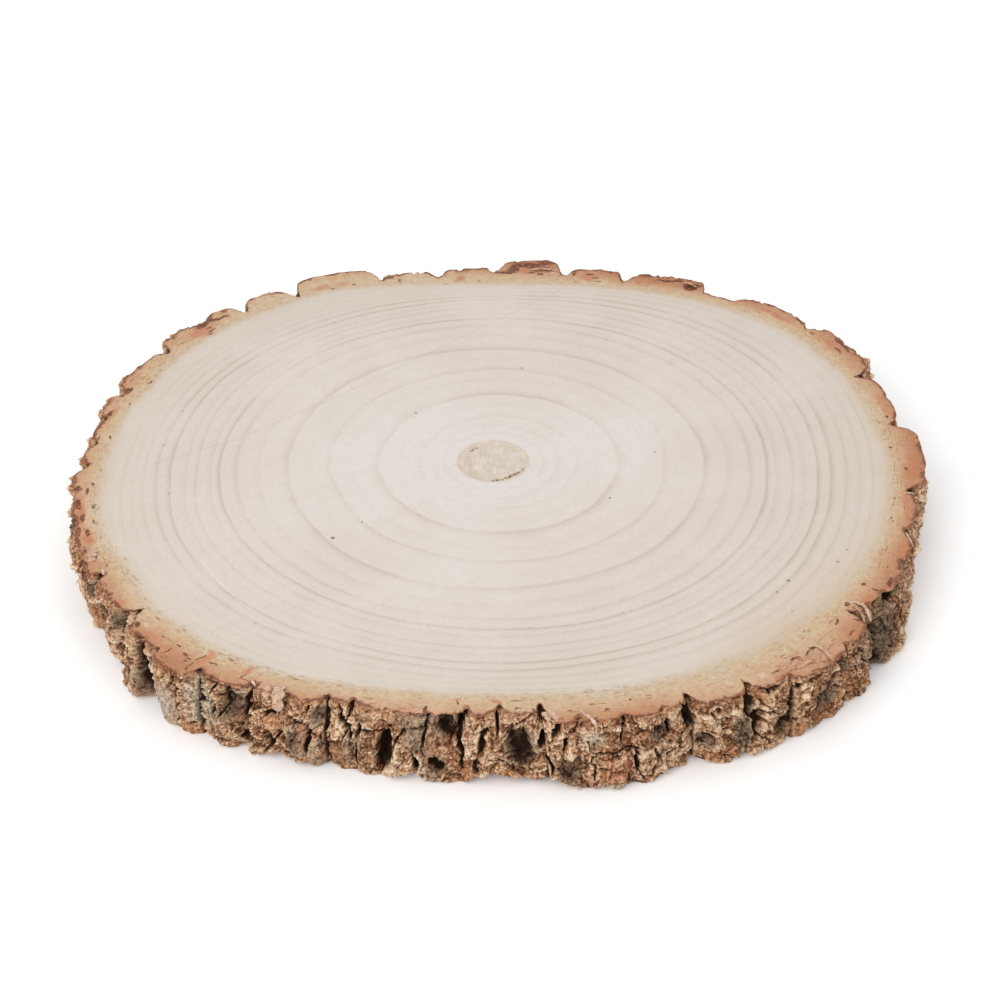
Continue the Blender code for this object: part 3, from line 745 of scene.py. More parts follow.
RUST_PATCHES = [
    (309, 5, 6, 5), (313, 17, 4, 5), (318.5, 7, 5, 6), (303, 22, 5, 3), (230.6, 2.6, 6, 3),
    (267, 4, 3.4, 4), (314.4, 3.6, 5, 4.6), (284.5, 7, 6, 5), (271.5, 4, 3, 3), (318, 13, 4, 2.6),
    (298.6, 4, 5, 4), (248.5, 6, 3.4, 4), (242, 15, 3.2, 3), (322.5, 7, 3, 6), (205, 6, 7, 4),
    (75, 15, 8, 6), (130, 7, 8, 5), (355, 8, 9, 6),
]  # fmt: skip
LICHEN = [
    (282.4, 19.4, 4.0, 3.0), (281.9, 18.9, 2.6, 2.0), (284.9, 1.9, 4.2, 1.4), (231.2, 17, 4.8, 6.5),
    (231.2, 12, 3, 6), (60, 9, 4, 3), (118, 15, 4, 4), (10, 8, 3, 4),
]  # fmt: skip
MOSS = [
    (331.8, 22.8, 4.2, 2.6), (317.6, 11.2, 2.4, 1.2), (328.6, 24.6, 3, 1.2), (186, 17, 4, 4),
    (45, 18, 4, 3),
]  # fmt: skip
WEATHER = {
    "grey": GREY_SKIN + GREY_PATCHES,
    "dark": DARK_AND_PAINTED_SHADE_PATCHES,
    "rusty": RUST_PATCHES,
    "pale": LICHEN,
    "moss": MOSS,
}
print(sum(len(places) for places in WEATHER.values()), "patches of weather on the side")

# %% [markdown]
# ## Rows over the rim
#
# The rows of the strip run round the slice. The first 25 lie on the sawn face, where the surface is nearly
# flat: a little rough, with a few flecks broken out of its edge. Rows lie closer together where the strip
# bends.


# %% Rows over the rim
RIM_ROWS = np.concatenate([[-0.02], np.linspace(0, 0.93, 22), [0.965, 0.99]])


def sawn_rim(degrees):
    """Rows from the cambium out: rim = bark - bite + ragged noise, and each row lies at its share of the
    rim. Returns the rim, how far out the rows lie and how high, how broken each point is, and its marks."""
    turn, bite, share = (degrees % 360) / 360, rim_bite(degrees), RIM_ROWS[:, None]
    rim = rim_bark(degrees)[0] - bite + 0.45 * layers(turn, 0 * turn, 3.6, 100)
    rim = rim + 0.25 * bite * noise(turn, 0 * turn, 900, 101)
    out = np.concatenate([[-0.4 + 0 * turn[0]], share[1:] * rim])
    # Marks are looked up at a place that wanders a little, so that their outlines are ragged
    bent, swayed = degrees + 0.32 * layers(turn, out, 3.0, 130), out + 0.55 * layers(turn, out, 2.4, 140)
    kinds = (("brown", BROWN_MARKS), ("rusty", RUSTY_MARKS), ("pale", PALE_MARKS))
    marks = {label: patch(bent, swayed, places) for label, places in kinds}
    rough = 0.05 * layers(turn, out, 1.5, 110) - 0.05
    broken = 0.9 * smoothstep(0.1, 0.8, layers(turn, out, 3.5, 120)) * smoothstep(0.6, 1.0, share)
    broken = broken + 0.3 * marks["brown"]
    height = THICKNESS + rough * smoothstep(0, 0.3, share) - broken * smoothstep(0, 0.1, share)
    height[0] = THICKNESS - 0.06
    return rim, out, height, broken, marks


print(len(RIM_ROWS), "rows over the rim")

# %% [markdown]
# ## Rows down the side
#
# The side takes 90 rows, and the relief of the cork moves them in and out. A point that lies deeper than
# its surroundings gets painted shade, and one that stands proud gets a painted highlight. Both are the
# difference between the relief and a blurred copy of it, once blurred a little and once a lot.


# %% Rows down the side
SIDE_ROWS = THICKNESS - np.concatenate([[0.0, 0.1, 0.25, 0.45], np.linspace(0.7, 25.5, 84), [25.8, 26.0]])


def corky_side(degrees, rim, broken):
    """Rows from the rim's edge to the foot. Returns the bark outside the cambium, the height and the marks;
    painted shade grows with blurred - bark and in hollows and cracks, painted highlight with bark - blurred."""
    height = SIDE_ROWS[:, None] + 0 * degrees
    bark, hollow_shade, tone = bark_relief(degrees, height)
    bark[0] = rim[0]
    fine, coarse = blurred(bark, 2, 2), blurred(blurred(bark, 8, 7), 8, 7)
    proud = bark - fine
    # Painted shade in creases, hollows and cracks, and painted highlight on points that stand proud
    shade = smoothstep(0.1, 2.6, coarse - bark) + 0.45 * smoothstep(0.05, 0.5, -proud) + 0.9 * hollow_shade
    light = smoothstep(0.02, 0.45, proud) * 0.7 + smoothstep(0.2, 1.6, bark - coarse) * 0.5
    height = height - broken[-1:] * smoothstep(1.6, 0, THICKNESS - height)
    marks = {"shade": np.clip(shade, 0, 1.5), "light": light, "tone": tone}
    for label, places in WEATHER.items():
        marks[label] = patch(degrees, height, places)
    return bark, height, marks


print(len(SIDE_ROWS), "rows down the side")

# %% [markdown]
# ## The whole strip
#
# Underneath, a few more rows come back in to the cambium. Then all rows are stacked, turned into points and
# laid out flat. Four lengths go round the slice, finer on the near side, where the bark is seen from close
# by.


# %% The whole strip
UNDER_ROWS = np.array([0.97, 0.9, 0.75, 0.5, 0.25, 0.0, -0.02])
# Columns worked out beyond each end of a length
SPARE = 30


def bark_length(name, start, end, count):
    """One length of the strip between two angles: cambium + rows over the rim, down the side and
    underneath. It is worked out a little too long at both ends, so that light and shade match the next
    length."""
    step = (end - start) / count
    degrees = np.arange(-SPARE, count + SPARE + 1)[None, :] * step + start
    rim, out, rim_height, broken, rim_marks = sawn_rim(degrees)
    bark, side_height, side_marks = corky_side(degrees, rim, broken)
    foot, share = bark[-1:], UNDER_ROWS[:, None]
    under_height = 0.05 * smoothstep(0, 0.2, 1 - share) + 0 * foot
    under_height[-1] = 0.06

    leant = leaning(degrees + 0 * bark, SIDE_ROWS[:, None])
    under = cambium(leant[-1:]) + np.maximum(share * foot, -0.4)
    radius = np.concatenate([cambium(degrees) + out, cambium(leant) + bark, under])
    heights = np.concatenate([rim_height, side_height, under_height])
    angles = np.concatenate([degrees + 0 * out, leant, leant[-1:] + 0 * share])
    points = place(angles, radius, np.clip(heights, 0, THICKNESS))
    marks = face_marks(angles, radius, CAMBIUM_MEAN + radius - cambium(angles))
    to_edge = np.concatenate([rim - RIM_ROWS[:, None] * rim, 0 * bark, foot - share * foot])
    marks["to_edge"], marks["below"] = np.maximum(to_edge, 0), THICKNESS - heights
    for label in ("brown", "rusty", "pale", "shade", "light", "tone", "grey", "dark", "moss"):
        parts = rim_marks.get(label, 0 * out), side_marks.get(label, 0 * bark), 0 * share * foot
        marks[label] = np.concatenate(parts)

    own = slice(SPARE, SPARE + count + 1)
    points, marks = points[:, own], {label: values[:, own] for label, values in marks.items()}
    # Laid out flat, folded once so that it fills the square
    gaps = np.linalg.norm(np.diff(points, axis=0), axis=2).mean(axis=1)
    run = np.append(0, np.cumsum(gaps)) / gaps.sum()
    across, down = np.linspace(0, 2, count + 1)[None, :], 0.003 + 0.49 * run[:, None]
    flat = np.stack(np.broadcast_arrays(across, down), -1)
    sections = np.repeat((0, 1, 0), (len(RIM_ROWS), len(SIDE_ROWS) - 1, len(UNDER_ROWS)))
    return skin(name, points, marks, flat, turned=True, sections=sections, folded=True)


# (name, first angle, last angle, columns)
LENGTHS = (
    ("bark_front_left", 207, 268.5, 610),
    ("bark_front_right", 268.5, 330, 610),
    ("bark_right", 330, 449.5, 800),
    ("bark_left", 89.5, 207, 800),
)
bark_pieces = [bark_length(*length) for length in LENGTHS]
for piece in bark_pieces:
    belongs(piece)

# %% [markdown]
# ## Colours
#
# Paint charts and photographs give colours as they look on a screen. The shader works with light itself, so
# `paint` undoes the screen's curve. The other helpers only save typing when nodes are joined up: each adds
# one node and returns what comes out of it.


# %% Colours and arithmetic
def paint(red, green, blue):
    """A screen colour from 0 to 255 as linear light, with full opacity."""
    parts = np.array((red, green, blue)) / 255
    linear = np.where(parts <= 0.04045, parts / 12.92, ((parts + 0.055) / 1.055) ** 2.4)
    return (*linear.tolist(), 1.0)


def node(tree, kind, inputs, **settings):
    """Adds a node. inputs gives values or other nodes' outputs by name or number; settings are its
    options."""
    made = tree.nodes.new("ShaderNode" + kind)
    for key, value in settings.items():
        setattr(made, key, value)
    for key, value in inputs.items():
        if isinstance(value, bpy.types.NodeSocket):
            tree.links.new(value, made.inputs[key])
        else:
            made.inputs[key].default_value = value
    return made


def calc(tree, operation, first, second=0.0):
    """One step of arithmetic."""
    return node(tree, "Math", {0: first, 1: second}, operation=operation).outputs[0]


def times(tree, first, *others):
    """All of them multiplied together."""
    for other in others:
        first = calc(tree, "MULTIPLY", first, other)
    return first


def mix(tree, share, first, second, way="MIX"):
    """first * (1 - share) + second * share for two colours."""
    inputs = {0: share, 6: first, 7: second}
    return node(tree, "Mix", inputs, data_type="RGBA", blend_type=way).outputs[2]


def ramp(tree, value, *stops, way="LINEAR"):
    """A colour ramp. Each stop is a place and a colour, or a place and a brightness."""
    made = node(tree, "ValToRGB", {"Fac": value})
    made.color_ramp.interpolation = way
    while len(made.color_ramp.elements) < len(stops):
        made.color_ramp.elements.new(0.5)
    for element, (position, colour) in zip(made.color_ramp.elements, stops):
        element.position = position
        element.color = colour if isinstance(colour, tuple) else (colour, colour, colour, 1)
    return made.outputs[0]


print("cream wood as light:", [round(part, 3) for part in paint(221, 213, 205)[:3]])

# %% [markdown]
# A finish reads two kinds of input: numbers that the mesh carries, and noise. The noise is laid out in
# metres on the object itself, so its grain has a real size. A stretched one makes streaks.


# %% Stored numbers, noise and shader
def stored(tree, name, output="Fac"):
    """A named number that the mesh carries."""
    return node(tree, "Attribute", {}, attribute_name=name).outputs[output]


def speckle(tree, where, scale, detail=3.0, rough=0.6, stretch=(1, 1, 1)):
    """Fractal noise from 0 to 1 on a coordinate, stretched along its axes."""
    stretched = node(tree, "Mapping", {"Vector": where, "Scale": stretch}).outputs[0]
    inputs = {"Vector": stretched, "Scale": scale, "Detail": detail, "Roughness": rough}
    return node(tree, "TexNoise", inputs).outputs["Fac"]


def new_finish(name):
    """An empty node tree with a Principled shader, and the object's own coordinates."""
    material = bpy.data.materials.new(name)
    material.use_nodes = True
    tree = material.node_tree
    return material, tree, tree.nodes["Principled BSDF"], node(tree, "TexCoord", {}).outputs["Object"]


def join(tree, shader, colour, height, distance, roughness):
    """Puts colour, bump height and roughness on the shader."""
    tree.links.new(colour, shader.inputs["Base Color"])
    bump = node(tree, "Bump", {"Height": height, "Strength": 1.0, "Distance": distance})
    tree.links.new(bump.outputs[0], shader.inputs["Normal"])
    if isinstance(roughness, bpy.types.NodeSocket):
        tree.links.new(roughness, shader.inputs["Roughness"])
    else:
        shader.inputs["Roughness"].default_value = roughness


print("noise of scale 240 has lumps about", round(1 / 240 / MM, 1), "mm wide")

# %% [markdown]
# ## Sawn wood
#
# Each ring begins with a crisp line of pores and fades outwards as the denser summer wood fills in. The
# part of the age after the decimal point does exactly that: it jumps to 0 at each ring and climbs to 1 at
# the next. A ramp with a fixed stop for each ring makes some lines strong and others hardly visible. Fine
# streaks run out from the pith and faint straight marks are left by the saw.


# %% Growth lines
def ring_lines(tree, here):
    """Growth lines: ramp(part of the age after the decimal point) * how dark that ring's line is * patchy.
    Also returns haze, the tanned wood beside some lines, and patchy itself."""
    age = stored(tree, "age")
    line = ramp(tree, calc(tree, "FRACT", age), (0.0, 1.0), (0.07, 0.75), (0.17, 0.34), (0.35, 0.08),
                (0.55, 0.0), (0.84, 0.0), (0.94, 0.45), (1.0, 0.9))  # fmt: skip
    count = len(RINGS)
    number = calc(tree, "DIVIDE", calc(tree, "ADD", age, 0.11), float(count))
    stops = [(step / count, dark) for step, dark in enumerate(RINGS[:, 1].tolist())]
    strong = ramp(tree, number, *stops, way="CONSTANT")
    patchy = ramp(tree, speckle(tree, here, 26.0, 4.0, 0.7), (0.36, 0.25), (0.6, 1.1))
    shifted = calc(tree, "FRACT", calc(tree, "ADD", age, 0.5))
    beside = calc(tree, "ABSOLUTE", calc(tree, "SUBTRACT", shifted, 0.56))
    some = ramp(tree, speckle(tree, here, 12.0, 2.0), (0.48, 0.0), (0.66, 1.0))
    haze = times(tree, ramp(tree, beside, (0.0, 1.0), (0.3, 0.0)), strong, some)
    return times(tree, line, strong, patchy), haze, patchy


print("lines of", int((RINGS[:, 1] >= 0.4).sum()), "rings are dark")

# %% [markdown]
# Under the lines the wood is cream, a little warmer towards the bark. Over them go, one after another,
# faint rings too fine to store, streaks that run out from the pith, the straight marks of the saw, dust,
# and pores on the strongest lines.


# %% Wood colour
def pores(tree, here, line):
    """Dots in a scatter of cells: 1 where the distance to a cell's point is under 0.16 and the cell's
    random number is under 0.45 * line - 0.12, so that they gather on the lines."""
    cells = node(tree, "TexVoronoi", {"Vector": here, "Scale": 420.0})
    likely = calc(tree, "SUBTRACT", times(tree, line, 0.45), 0.12)
    chance = node(tree, "SeparateColor", {0: cells.outputs["Color"]}).outputs[0]
    dot = calc(tree, "LESS_THAN", cells.outputs["Distance"], 0.16)
    return times(tree, dot, calc(tree, "LESS_THAN", chance, likely))


def wood_colour(tree, here, rays):
    """Colour of the wood, and how deep its lines and pores lie. Each finer mark is mixed over the base."""
    ring = stored(tree, "ring")
    out = calc(tree, "DIVIDE", ring, 140.0)
    base = ramp(tree, out, (0.08, paint(224, 218, 214)), (0.45, paint(223, 216, 210)),
                (0.75, paint(220, 211, 203)), (0.97, paint(214, 203, 191)))  # fmt: skip
    cloud = ramp(tree, speckle(tree, here, 14.0, 4.0, 0.55), (0.35, 0.0), (0.7, 0.7))
    base = mix(tree, cloud, base, paint(217, 206, 196))

    line, haze, patchy = ring_lines(tree, here)
    hairs = ramp(tree, speckle(tree, rays, 1.0, 3.0, 0.6, (260, 260, 0.12)), (0.4, 0.45), (0.6, 1.0))
    colour = mix(tree, times(tree, haze, hairs, 0.45), base, paint(206, 192, 170))
    colour = mix(tree, times(tree, line, 0.68), colour, paint(180, 162, 142))

    wave = {"W": times(tree, ring, 0.8), "Detail": 4.0, "Roughness": 0.7}
    fine_wave = node(tree, "TexNoise", wave, noise_dimensions="1D").outputs["Fac"]
    fine_rings = ramp(tree, fine_wave, (0.3, 1.0), (0.5, 0.3), (0.7, 0.0))
    fine_rings = times(tree, fine_rings, patchy, ramp(tree, out, (0.3, 0.14), (0.7, 0.5)))
    colour = mix(tree, fine_rings, colour, paint(190, 176, 162))
    streaks = speckle(tree, rays, 1.0, 3.0, 0.6, (75, 75, 0.06))
    colour = mix(tree, times(tree, streaks, 0.12), colour, paint(200, 187, 172))
    saw_way = node(tree, "Mapping", {"Vector": here, "Rotation": (0, 0, math.radians(-38))}).outputs[0]
    saw_marks = speckle(tree, saw_way, 1.0, 3.0, 0.7, (9, 700, 9))
    colour = mix(tree, ramp(tree, saw_marks, (0.33, 0.07), (0.5, 0.0)), colour, paint(180, 166, 150))
    dust = speckle(tree, here, 900.0, 2.0)
    colour = mix(tree, ramp(tree, dust, (0.3, 0.16), (0.6, 0.0)), colour, paint(184, 168, 153))
    pore = pores(tree, here, line)
    colour = mix(tree, times(tree, pore, 0.5), colour, paint(136, 104, 80))
    return colour, calc(tree, "ADD", line, pore)


print("saw marks lie at 38 degrees across the slice")

# %% [markdown]
# Two long scratches and a few dark specks make the face a used one. Each is placed on its own: a speck by
# its distance from a point, and a scratch by the distance from a straight line.


# %% Scratches and specks
def scratch(tree, here, start, end, half_width):
    """1 along a straight line between two places on the upper face, in mm, falling to 0 at its edges. The
    nearest place on the line is first + way * along, along being (here - first) . way / |way|^2."""
    first, last = np.array((*start, THICKNESS)) * MM, np.array((*end, THICKNESS)) * MM
    way = last - first
    shrunk = tuple(way / (way @ way))
    away = node(tree, "VectorMath", {0: here, 1: tuple(first)}, operation="SUBTRACT").outputs[0]
    along = node(tree, "VectorMath", {0: away, 1: shrunk}, operation="DOT_PRODUCT").outputs["Value"]
    along = node(tree, "Clamp", {0: along}).outputs[0]
    foot = node(tree, "VectorMath", {0: tuple(way), "Scale": along}, operation="SCALE").outputs[0]
    distance = node(tree, "VectorMath", {0: away, 1: foot}, operation="DISTANCE").outputs["Value"]
    return ramp(tree, calc(tree, "DIVIDE", distance, half_width * MM), (0.0, 1.0), (1.0, 0.0))


# Scratches on the upper face: brightness, strength, half width in mm, and the places they pass
SCRATCHES = (
    (176, 0.4, 0.35, ((-124.9, -0.3), (-95.9, 15.4), (-62.9, 41.2), (23.3, 118.5))),
    (236, 0.5, 0.4, ((-102.1, -56.2), (-93.5, -70.5), (-83.1, -83.5), (-65.6, -99.3))),
    (182, 0.3, 0.5, ((-103.0, -55.6), (-94.4, -69.9), (-84.0, -82.9), (-66.4, -98.6))),
)
# Dark specks on the upper face: (x, y, size) in mm
SPECKS = (
    (-57.6, -43.7, 0.9), (-31.0, 32.7, 0.6), (38.3, -20.3, 0.6), (55.4, 7.8, 0.5), (8.1, 62.7, 0.55),
    (-48.0, -34.5, 0.5), (96.8, -67.6, 0.75), (114.4, -57.1, 0.7), (118.5, -50.4, 0.5), (92.4, -73.8, 0.5),
    (80.2, -112.2, 0.8), (116.5, -64.0, 0.5), (96.6, -84.1, 0.5), (97.8, -99.3, 0.5), (105.7, -78.2, 0.45),
)  # fmt: skip


def small_marks(tree, here, colour):
    """Specks and scratches, each mixed over the colour."""
    for x, y, size in SPECKS:
        spot = (x * MM, y * MM, THICKNESS * MM)
        away = node(tree, "VectorMath", {0: here, 1: spot}, operation="DISTANCE").outputs["Value"]
        dot = ramp(tree, calc(tree, "DIVIDE", away, size * MM), (0.5, 0.8), (1.0, 0.0))
        colour = mix(tree, dot, colour, paint(95, 75, 58))
    for bright, strength, half_width, places in SCRATCHES:
        for start, end in zip(places[:-1], places[1:]):
            line = times(tree, scratch(tree, here, start, end, half_width), strength)
            colour = mix(tree, line, colour, paint(bright, bright - 8, bright - 16))
    return colour


print(len(SPECKS), "specks and", len(SCRATCHES), "scratches")

# %% [markdown]
# ## Sawn bark
#
# Where the saw went through the bark, the inner bark shows as a smooth band: pale yellow against the wood,
# a pinkish tan further out, and a thin brown line at the edge. Hard fibres make short dark dashes that
# follow the rings, and olive flecks mark the cambium, where the wood was still growing. One finish serves
# wood and bark, because on the real slice they are one sawn surface and the tan has spread from one into
# the other.


# %% Sawn bark colour
def bark_colour(tree, here, rays, edge):
    """Colour of the sawn bark, and its grain. How far the tan has deepened is edge / 11 * warm, with a
    blotchy wander added; it picks the base colour from pale yellow to rusty brown."""
    blotch = speckle(tree, here, 130.0, 4.0, 0.65)
    deepened = times(tree, calc(tree, "DIVIDE", edge, 11.0), stored(tree, "warm"))
    deepened = calc(tree, "ADD", deepened, times(tree, calc(tree, "SUBTRACT", blotch, 0.5), 1.1))
    base = ramp(tree, times(tree, deepened, 0.66), (0.0, paint(203, 187, 163)), (0.1, paint(204, 185, 157)),
                (0.2, paint(205, 182, 150)), (0.33, paint(203, 174, 140)), (0.5, paint(199, 161, 128)),
                (0.66, paint(193, 147, 113)), (1.0, paint(176, 120, 86)))  # fmt: skip
    grain = speckle(tree, rays, 1.0, 3.0, 0.6, (60, 60, 0.55))
    base = mix(tree, ramp(tree, grain, (0.32, 0.45), (0.58, 0.0)), base, paint(186, 144, 108))
    fine_grain = speckle(tree, rays, 1.0, 3.0, 0.7, (120, 120, 2.2))
    worn = ramp(tree, speckle(tree, here, 55.0, 3.0), (0.4, 0.15), (0.62, 1.0))
    dark_grain = times(tree, ramp(tree, fine_grain, (0.36, 0.6), (0.5, 0.0)), worn)
    base = mix(tree, dark_grain, base, paint(168, 118, 84))
    base = mix(tree, ramp(tree, fine_grain, (0.56, 0.0), (0.68, 0.4)), base, paint(226, 200, 170))
    # Dashes of hard fibres gather in places and are firmer where the tan is deep
    dashes = ramp(tree, speckle(tree, rays, 1.0, 2.0, 0.5, (34, 34, 1.5)), (0.62, 0.0), (0.66, 0.9))
    gathered = ramp(tree, speckle(tree, here, 45.0, 2.0), (0.42, 0.0), (0.56, 1.0))
    firm = ramp(tree, deepened, (0.1, 0.35), (0.45, 1.0))
    base = mix(tree, times(tree, dashes, gathered, firm), base, paint(150, 92, 62))
    return marked(tree, here, base, blotch), grain


def marked(tree, here, base, blotch):
    """The rusty, pale and brown marks that the mesh carries, and a thin brown line along the bark's
    edge."""
    rusty = times(tree, stored(tree, "rusty"), ramp(tree, blotch, (0.34, 0.2), (0.56, 0.9)))
    base = mix(tree, rusty, base, paint(190, 124, 90))
    base = mix(tree, times(tree, stored(tree, "pale"), 0.6), base, paint(222, 200, 176))
    fibres = ramp(tree, speckle(tree, here, 620.0, 3.0, 0.7), (0.36, 0.4), (0.5, 1.0))
    brown = times(tree, ramp(tree, stored(tree, "brown"), (0.2, 0.0), (0.6, 0.95)), fibres)
    base = mix(tree, brown, base, paint(106, 60, 41))
    ragged = times(tree, calc(tree, "SUBTRACT", speckle(tree, here, 190.0, 4.0, 0.7), 0.54), 7.0)
    ragged = calc(tree, "ADD", stored(tree, "to_edge"), ragged)
    return mix(tree, ramp(tree, ragged, (0.0, 1.0), (0.3, 0.7), (1.0, 0.0)), base, paint(134, 84, 62))


print("sawn bark as light:", [round(part, 3) for part in paint(203, 174, 140)[:3]])

# %% [markdown]
# The finish of the whole sawn face puts wood and bark together. The border wanders by a millimetre or two,
# the tan fades in across it, and the olive flecks lie on it last.


# %% Finish of the sawn face
BOARD_TONE = (0.95, 0.95, 0.95, 1)


def sawn_face_finish(name, on_wood):
    """border = edge + wander, in mm. Tan that has spread into the wood: border / blush; tan itself: border
    / (2 + 0.7 * blush); olive: 1 - |border / 2.7|."""
    material, tree, shader, here = new_finish(name)
    rays, edge, blush = stored(tree, "ray", "Vector"), stored(tree, "edge"), stored(tree, "blush")
    colour, deep = wood_colour(tree, here, rays)
    if on_wood:
        colour = small_marks(tree, here, colour)
    wander = times(tree, calc(tree, "SUBTRACT", speckle(tree, here, 160.0, 4.0, 0.65), 0.5), 4.0)
    border = calc(tree, "ADD", edge, wander)
    spread = calc(tree, "ADD", times(tree, calc(tree, "DIVIDE", border, blush), 0.5), 1.0)
    spread = ramp(tree, spread, (0.0, 0.0), (0.5, 0.26), (1.0, 0.8))
    colour = mix(tree, spread, colour, paint(206, 184, 160))
    bark, grain = bark_colour(tree, here, rays, edge)
    width = calc(tree, "ADD", 2.0, times(tree, blush, 0.7))
    tan = ramp(tree, calc(tree, "ADD", calc(tree, "DIVIDE", border, width), 0.5), (0.2, 0.0), (0.9, 1.0))
    colour = mix(tree, tan, colour, bark)
    olive = ramp(tree, calc(tree, "ABSOLUTE", calc(tree, "DIVIDE", border, 2.7)), (0.0, 1.0), (1.0, 0.0))
    flecks = ramp(tree, speckle(tree, rays, 1.0, 3.0, 0.7, (46, 46, 0.9)), (0.54, 0.0), (0.62, 0.95))
    colour = mix(tree, times(tree, olive, flecks, stored(tree, "flecked")), colour, paint(158, 130, 96))
    colour = mix(tree, 1.0, colour, BOARD_TONE, "MULTIPLY")
    deep = calc(tree, "SUBTRACT", deep, times(tree, tan, grain))
    height = calc(tree, "SUBTRACT", speckle(tree, here, 700.0, 3.0), deep)
    join(tree, shader, colour, height, 0.05 * MM if on_wood else 0.1 * MM, 0.66)
    shader.inputs["Specular IOR Level"].default_value = 0.3
    return material


wood_finish = sawn_face_finish("sawn_wood_face", True)
rim_finish = sawn_face_finish("sawn_bark_face", False)
for face in (wood_top, wood_under):
    face.data.materials.append(wood_finish)
print("growth lines on", wood_top.name, "and", wood_under.name)

# %% [markdown]
# ## Cork
#
# Weathered cork is tan where it is worn and grey where it has stood in the rain, and the cracks and hollows
# are painted nearly black as painted shade. The relief already knows what lies deep and what stands proud,
# so the colour takes painted shade and painted highlights from the stored shade and light, and the patches
# of rust, lichen, moss and dark cork are laid over it; the dark ones are partly painted shade over the
# hollows. The finest grain, under half a millimetre, is left to the finish, because no mesh could carry it.


# %% Cork finish
def cork():
    """0.45 * coarse + 0.55 * fine + 0.13 * light + 0.045 * tone picks the base colour, from dark brown to
    cream; light is a painted highlight on proud points. Each layer of weather over it is dark in the pits and
    bright on the grit, and painted shade in hollows, cracks and creases comes last."""
    material, tree, shader, here = new_finish("cork_side")
    coarse, fine = speckle(tree, here, 240.0, 5.0, 0.7), speckle(tree, here, 800.0, 4.0, 0.75)
    value = calc(tree, "ADD", times(tree, coarse, 0.45), times(tree, fine, 0.55))
    # Painted highlight: points that stand proud of the relief are lightened
    value = calc(tree, "ADD", value, times(tree, stored(tree, "light"), 0.13))
    value = calc(tree, "ADD", value, times(tree, stored(tree, "tone"), 0.045))
    base = ramp(tree, value, (0.38, paint(62, 36, 24)), (0.45, paint(126, 84, 60)),
                (0.53, paint(188, 146, 114)), (0.6, paint(222, 188, 156)),
                (0.7, paint(244, 222, 196)))  # fmt: skip
    grit = ramp(tree, fine, (0.36, 0.0), (0.6, 1.0))
    rust = ramp(tree, speckle(tree, here, 90.0, 3.0, 0.6), (0.54, 0.0), (0.7, 0.7))
    ash = ramp(tree, speckle(tree, here, 60.0, 3.0, 0.6), (0.54, 0.0), (0.68, 0.6))
    lip = ramp(tree, calc(tree, "DIVIDE", stored(tree, "below"), 3.0), (0.0, 0.8), (0.4, 0.45), (1.0, 0.0))
    lip = times(tree, lip, ramp(tree, coarse, (0.35, 0.3), (0.6, 1.0)))
    for where, amount, dark, bright in (
        (rust, 1.0, (116, 62, 42), (192, 124, 92)),
        (ash, 1.0, (104, 90, 78), (186, 170, 152)),
        (stored(tree, "rusty"), 0.6, (140, 84, 56), (222, 164, 120)),
        # The dark patches are partly dark cork, partly painted shade over the listed hollows
        (stored(tree, "dark"), 0.8, (44, 38, 33), (116, 102, 88)),
        (stored(tree, "grey"), 0.85, (154, 138, 122), (214, 202, 188)),
        (stored(tree, "pale"), 0.8, (158, 136, 106), (242, 230, 210)),
        (stored(tree, "moss"), 0.7, (38, 44, 26), (120, 122, 76)),
        (lip, 0.8, (134, 84, 60), (196, 142, 106)),
    ):
        layer = mix(tree, grit, paint(*dark), paint(*bright))
        base = mix(tree, times(tree, where, amount), base, layer)
    pits = ramp(tree, speckle(tree, here, 1100.0, 3.0, 0.7), (0.37, 0.85), (0.46, 0.0))
    base = mix(tree, pits, base, paint(62, 34, 20))
    # Painted shade: hollows, cracks and creases darken towards near black
    shade = ramp(tree, stored(tree, "shade"), (0.08, 0.0), (0.4, 0.5), (0.85, 0.96))
    base = mix(tree, shade, base, paint(35, 22, 15))
    base = mix(tree, 1.0, base, (1.02, 0.98, 0.92, 1), "MULTIPLY")
    join(tree, shader, base, calc(tree, "ADD", fine, coarse), 0.8 * MM, 0.9)
    shader.inputs["Specular IOR Level"].default_value = 0.08
    return material


cork_finish = cork()
for piece in bark_pieces:
    piece.data.materials.append(rim_finish)
    piece.data.materials.append(cork_finish)
print("cork on", len(bark_pieces), "lengths of bark")

# %% [markdown]
# ## The pith
#
# The pith is the soft core of the first year. It has dried and shrunk, so it lies a little below the sawn
# face in a shallow seat, with a crevice along part of its edge where it has come away.

# %% Pith
# Crevices near the edge: (angle, half width in degrees, share of the way out, depth in mm)
CREVICES = (
    (124, 6, 0.82, 0.55), (135, 7, 0.81, 0.65), (271, 3, 0.88, 1.0), (278, 3, 0.87, 1.2),
    (287, 4, 0.85, 0.9), (297, 4, 0.83, 1.2), (307, 5, 0.815, 1.6), (316, 4, 0.82, 1.5),
    (325, 4, 0.86, 0.9), (337, 6, 0.89, 0.6),
)  # fmt: skip


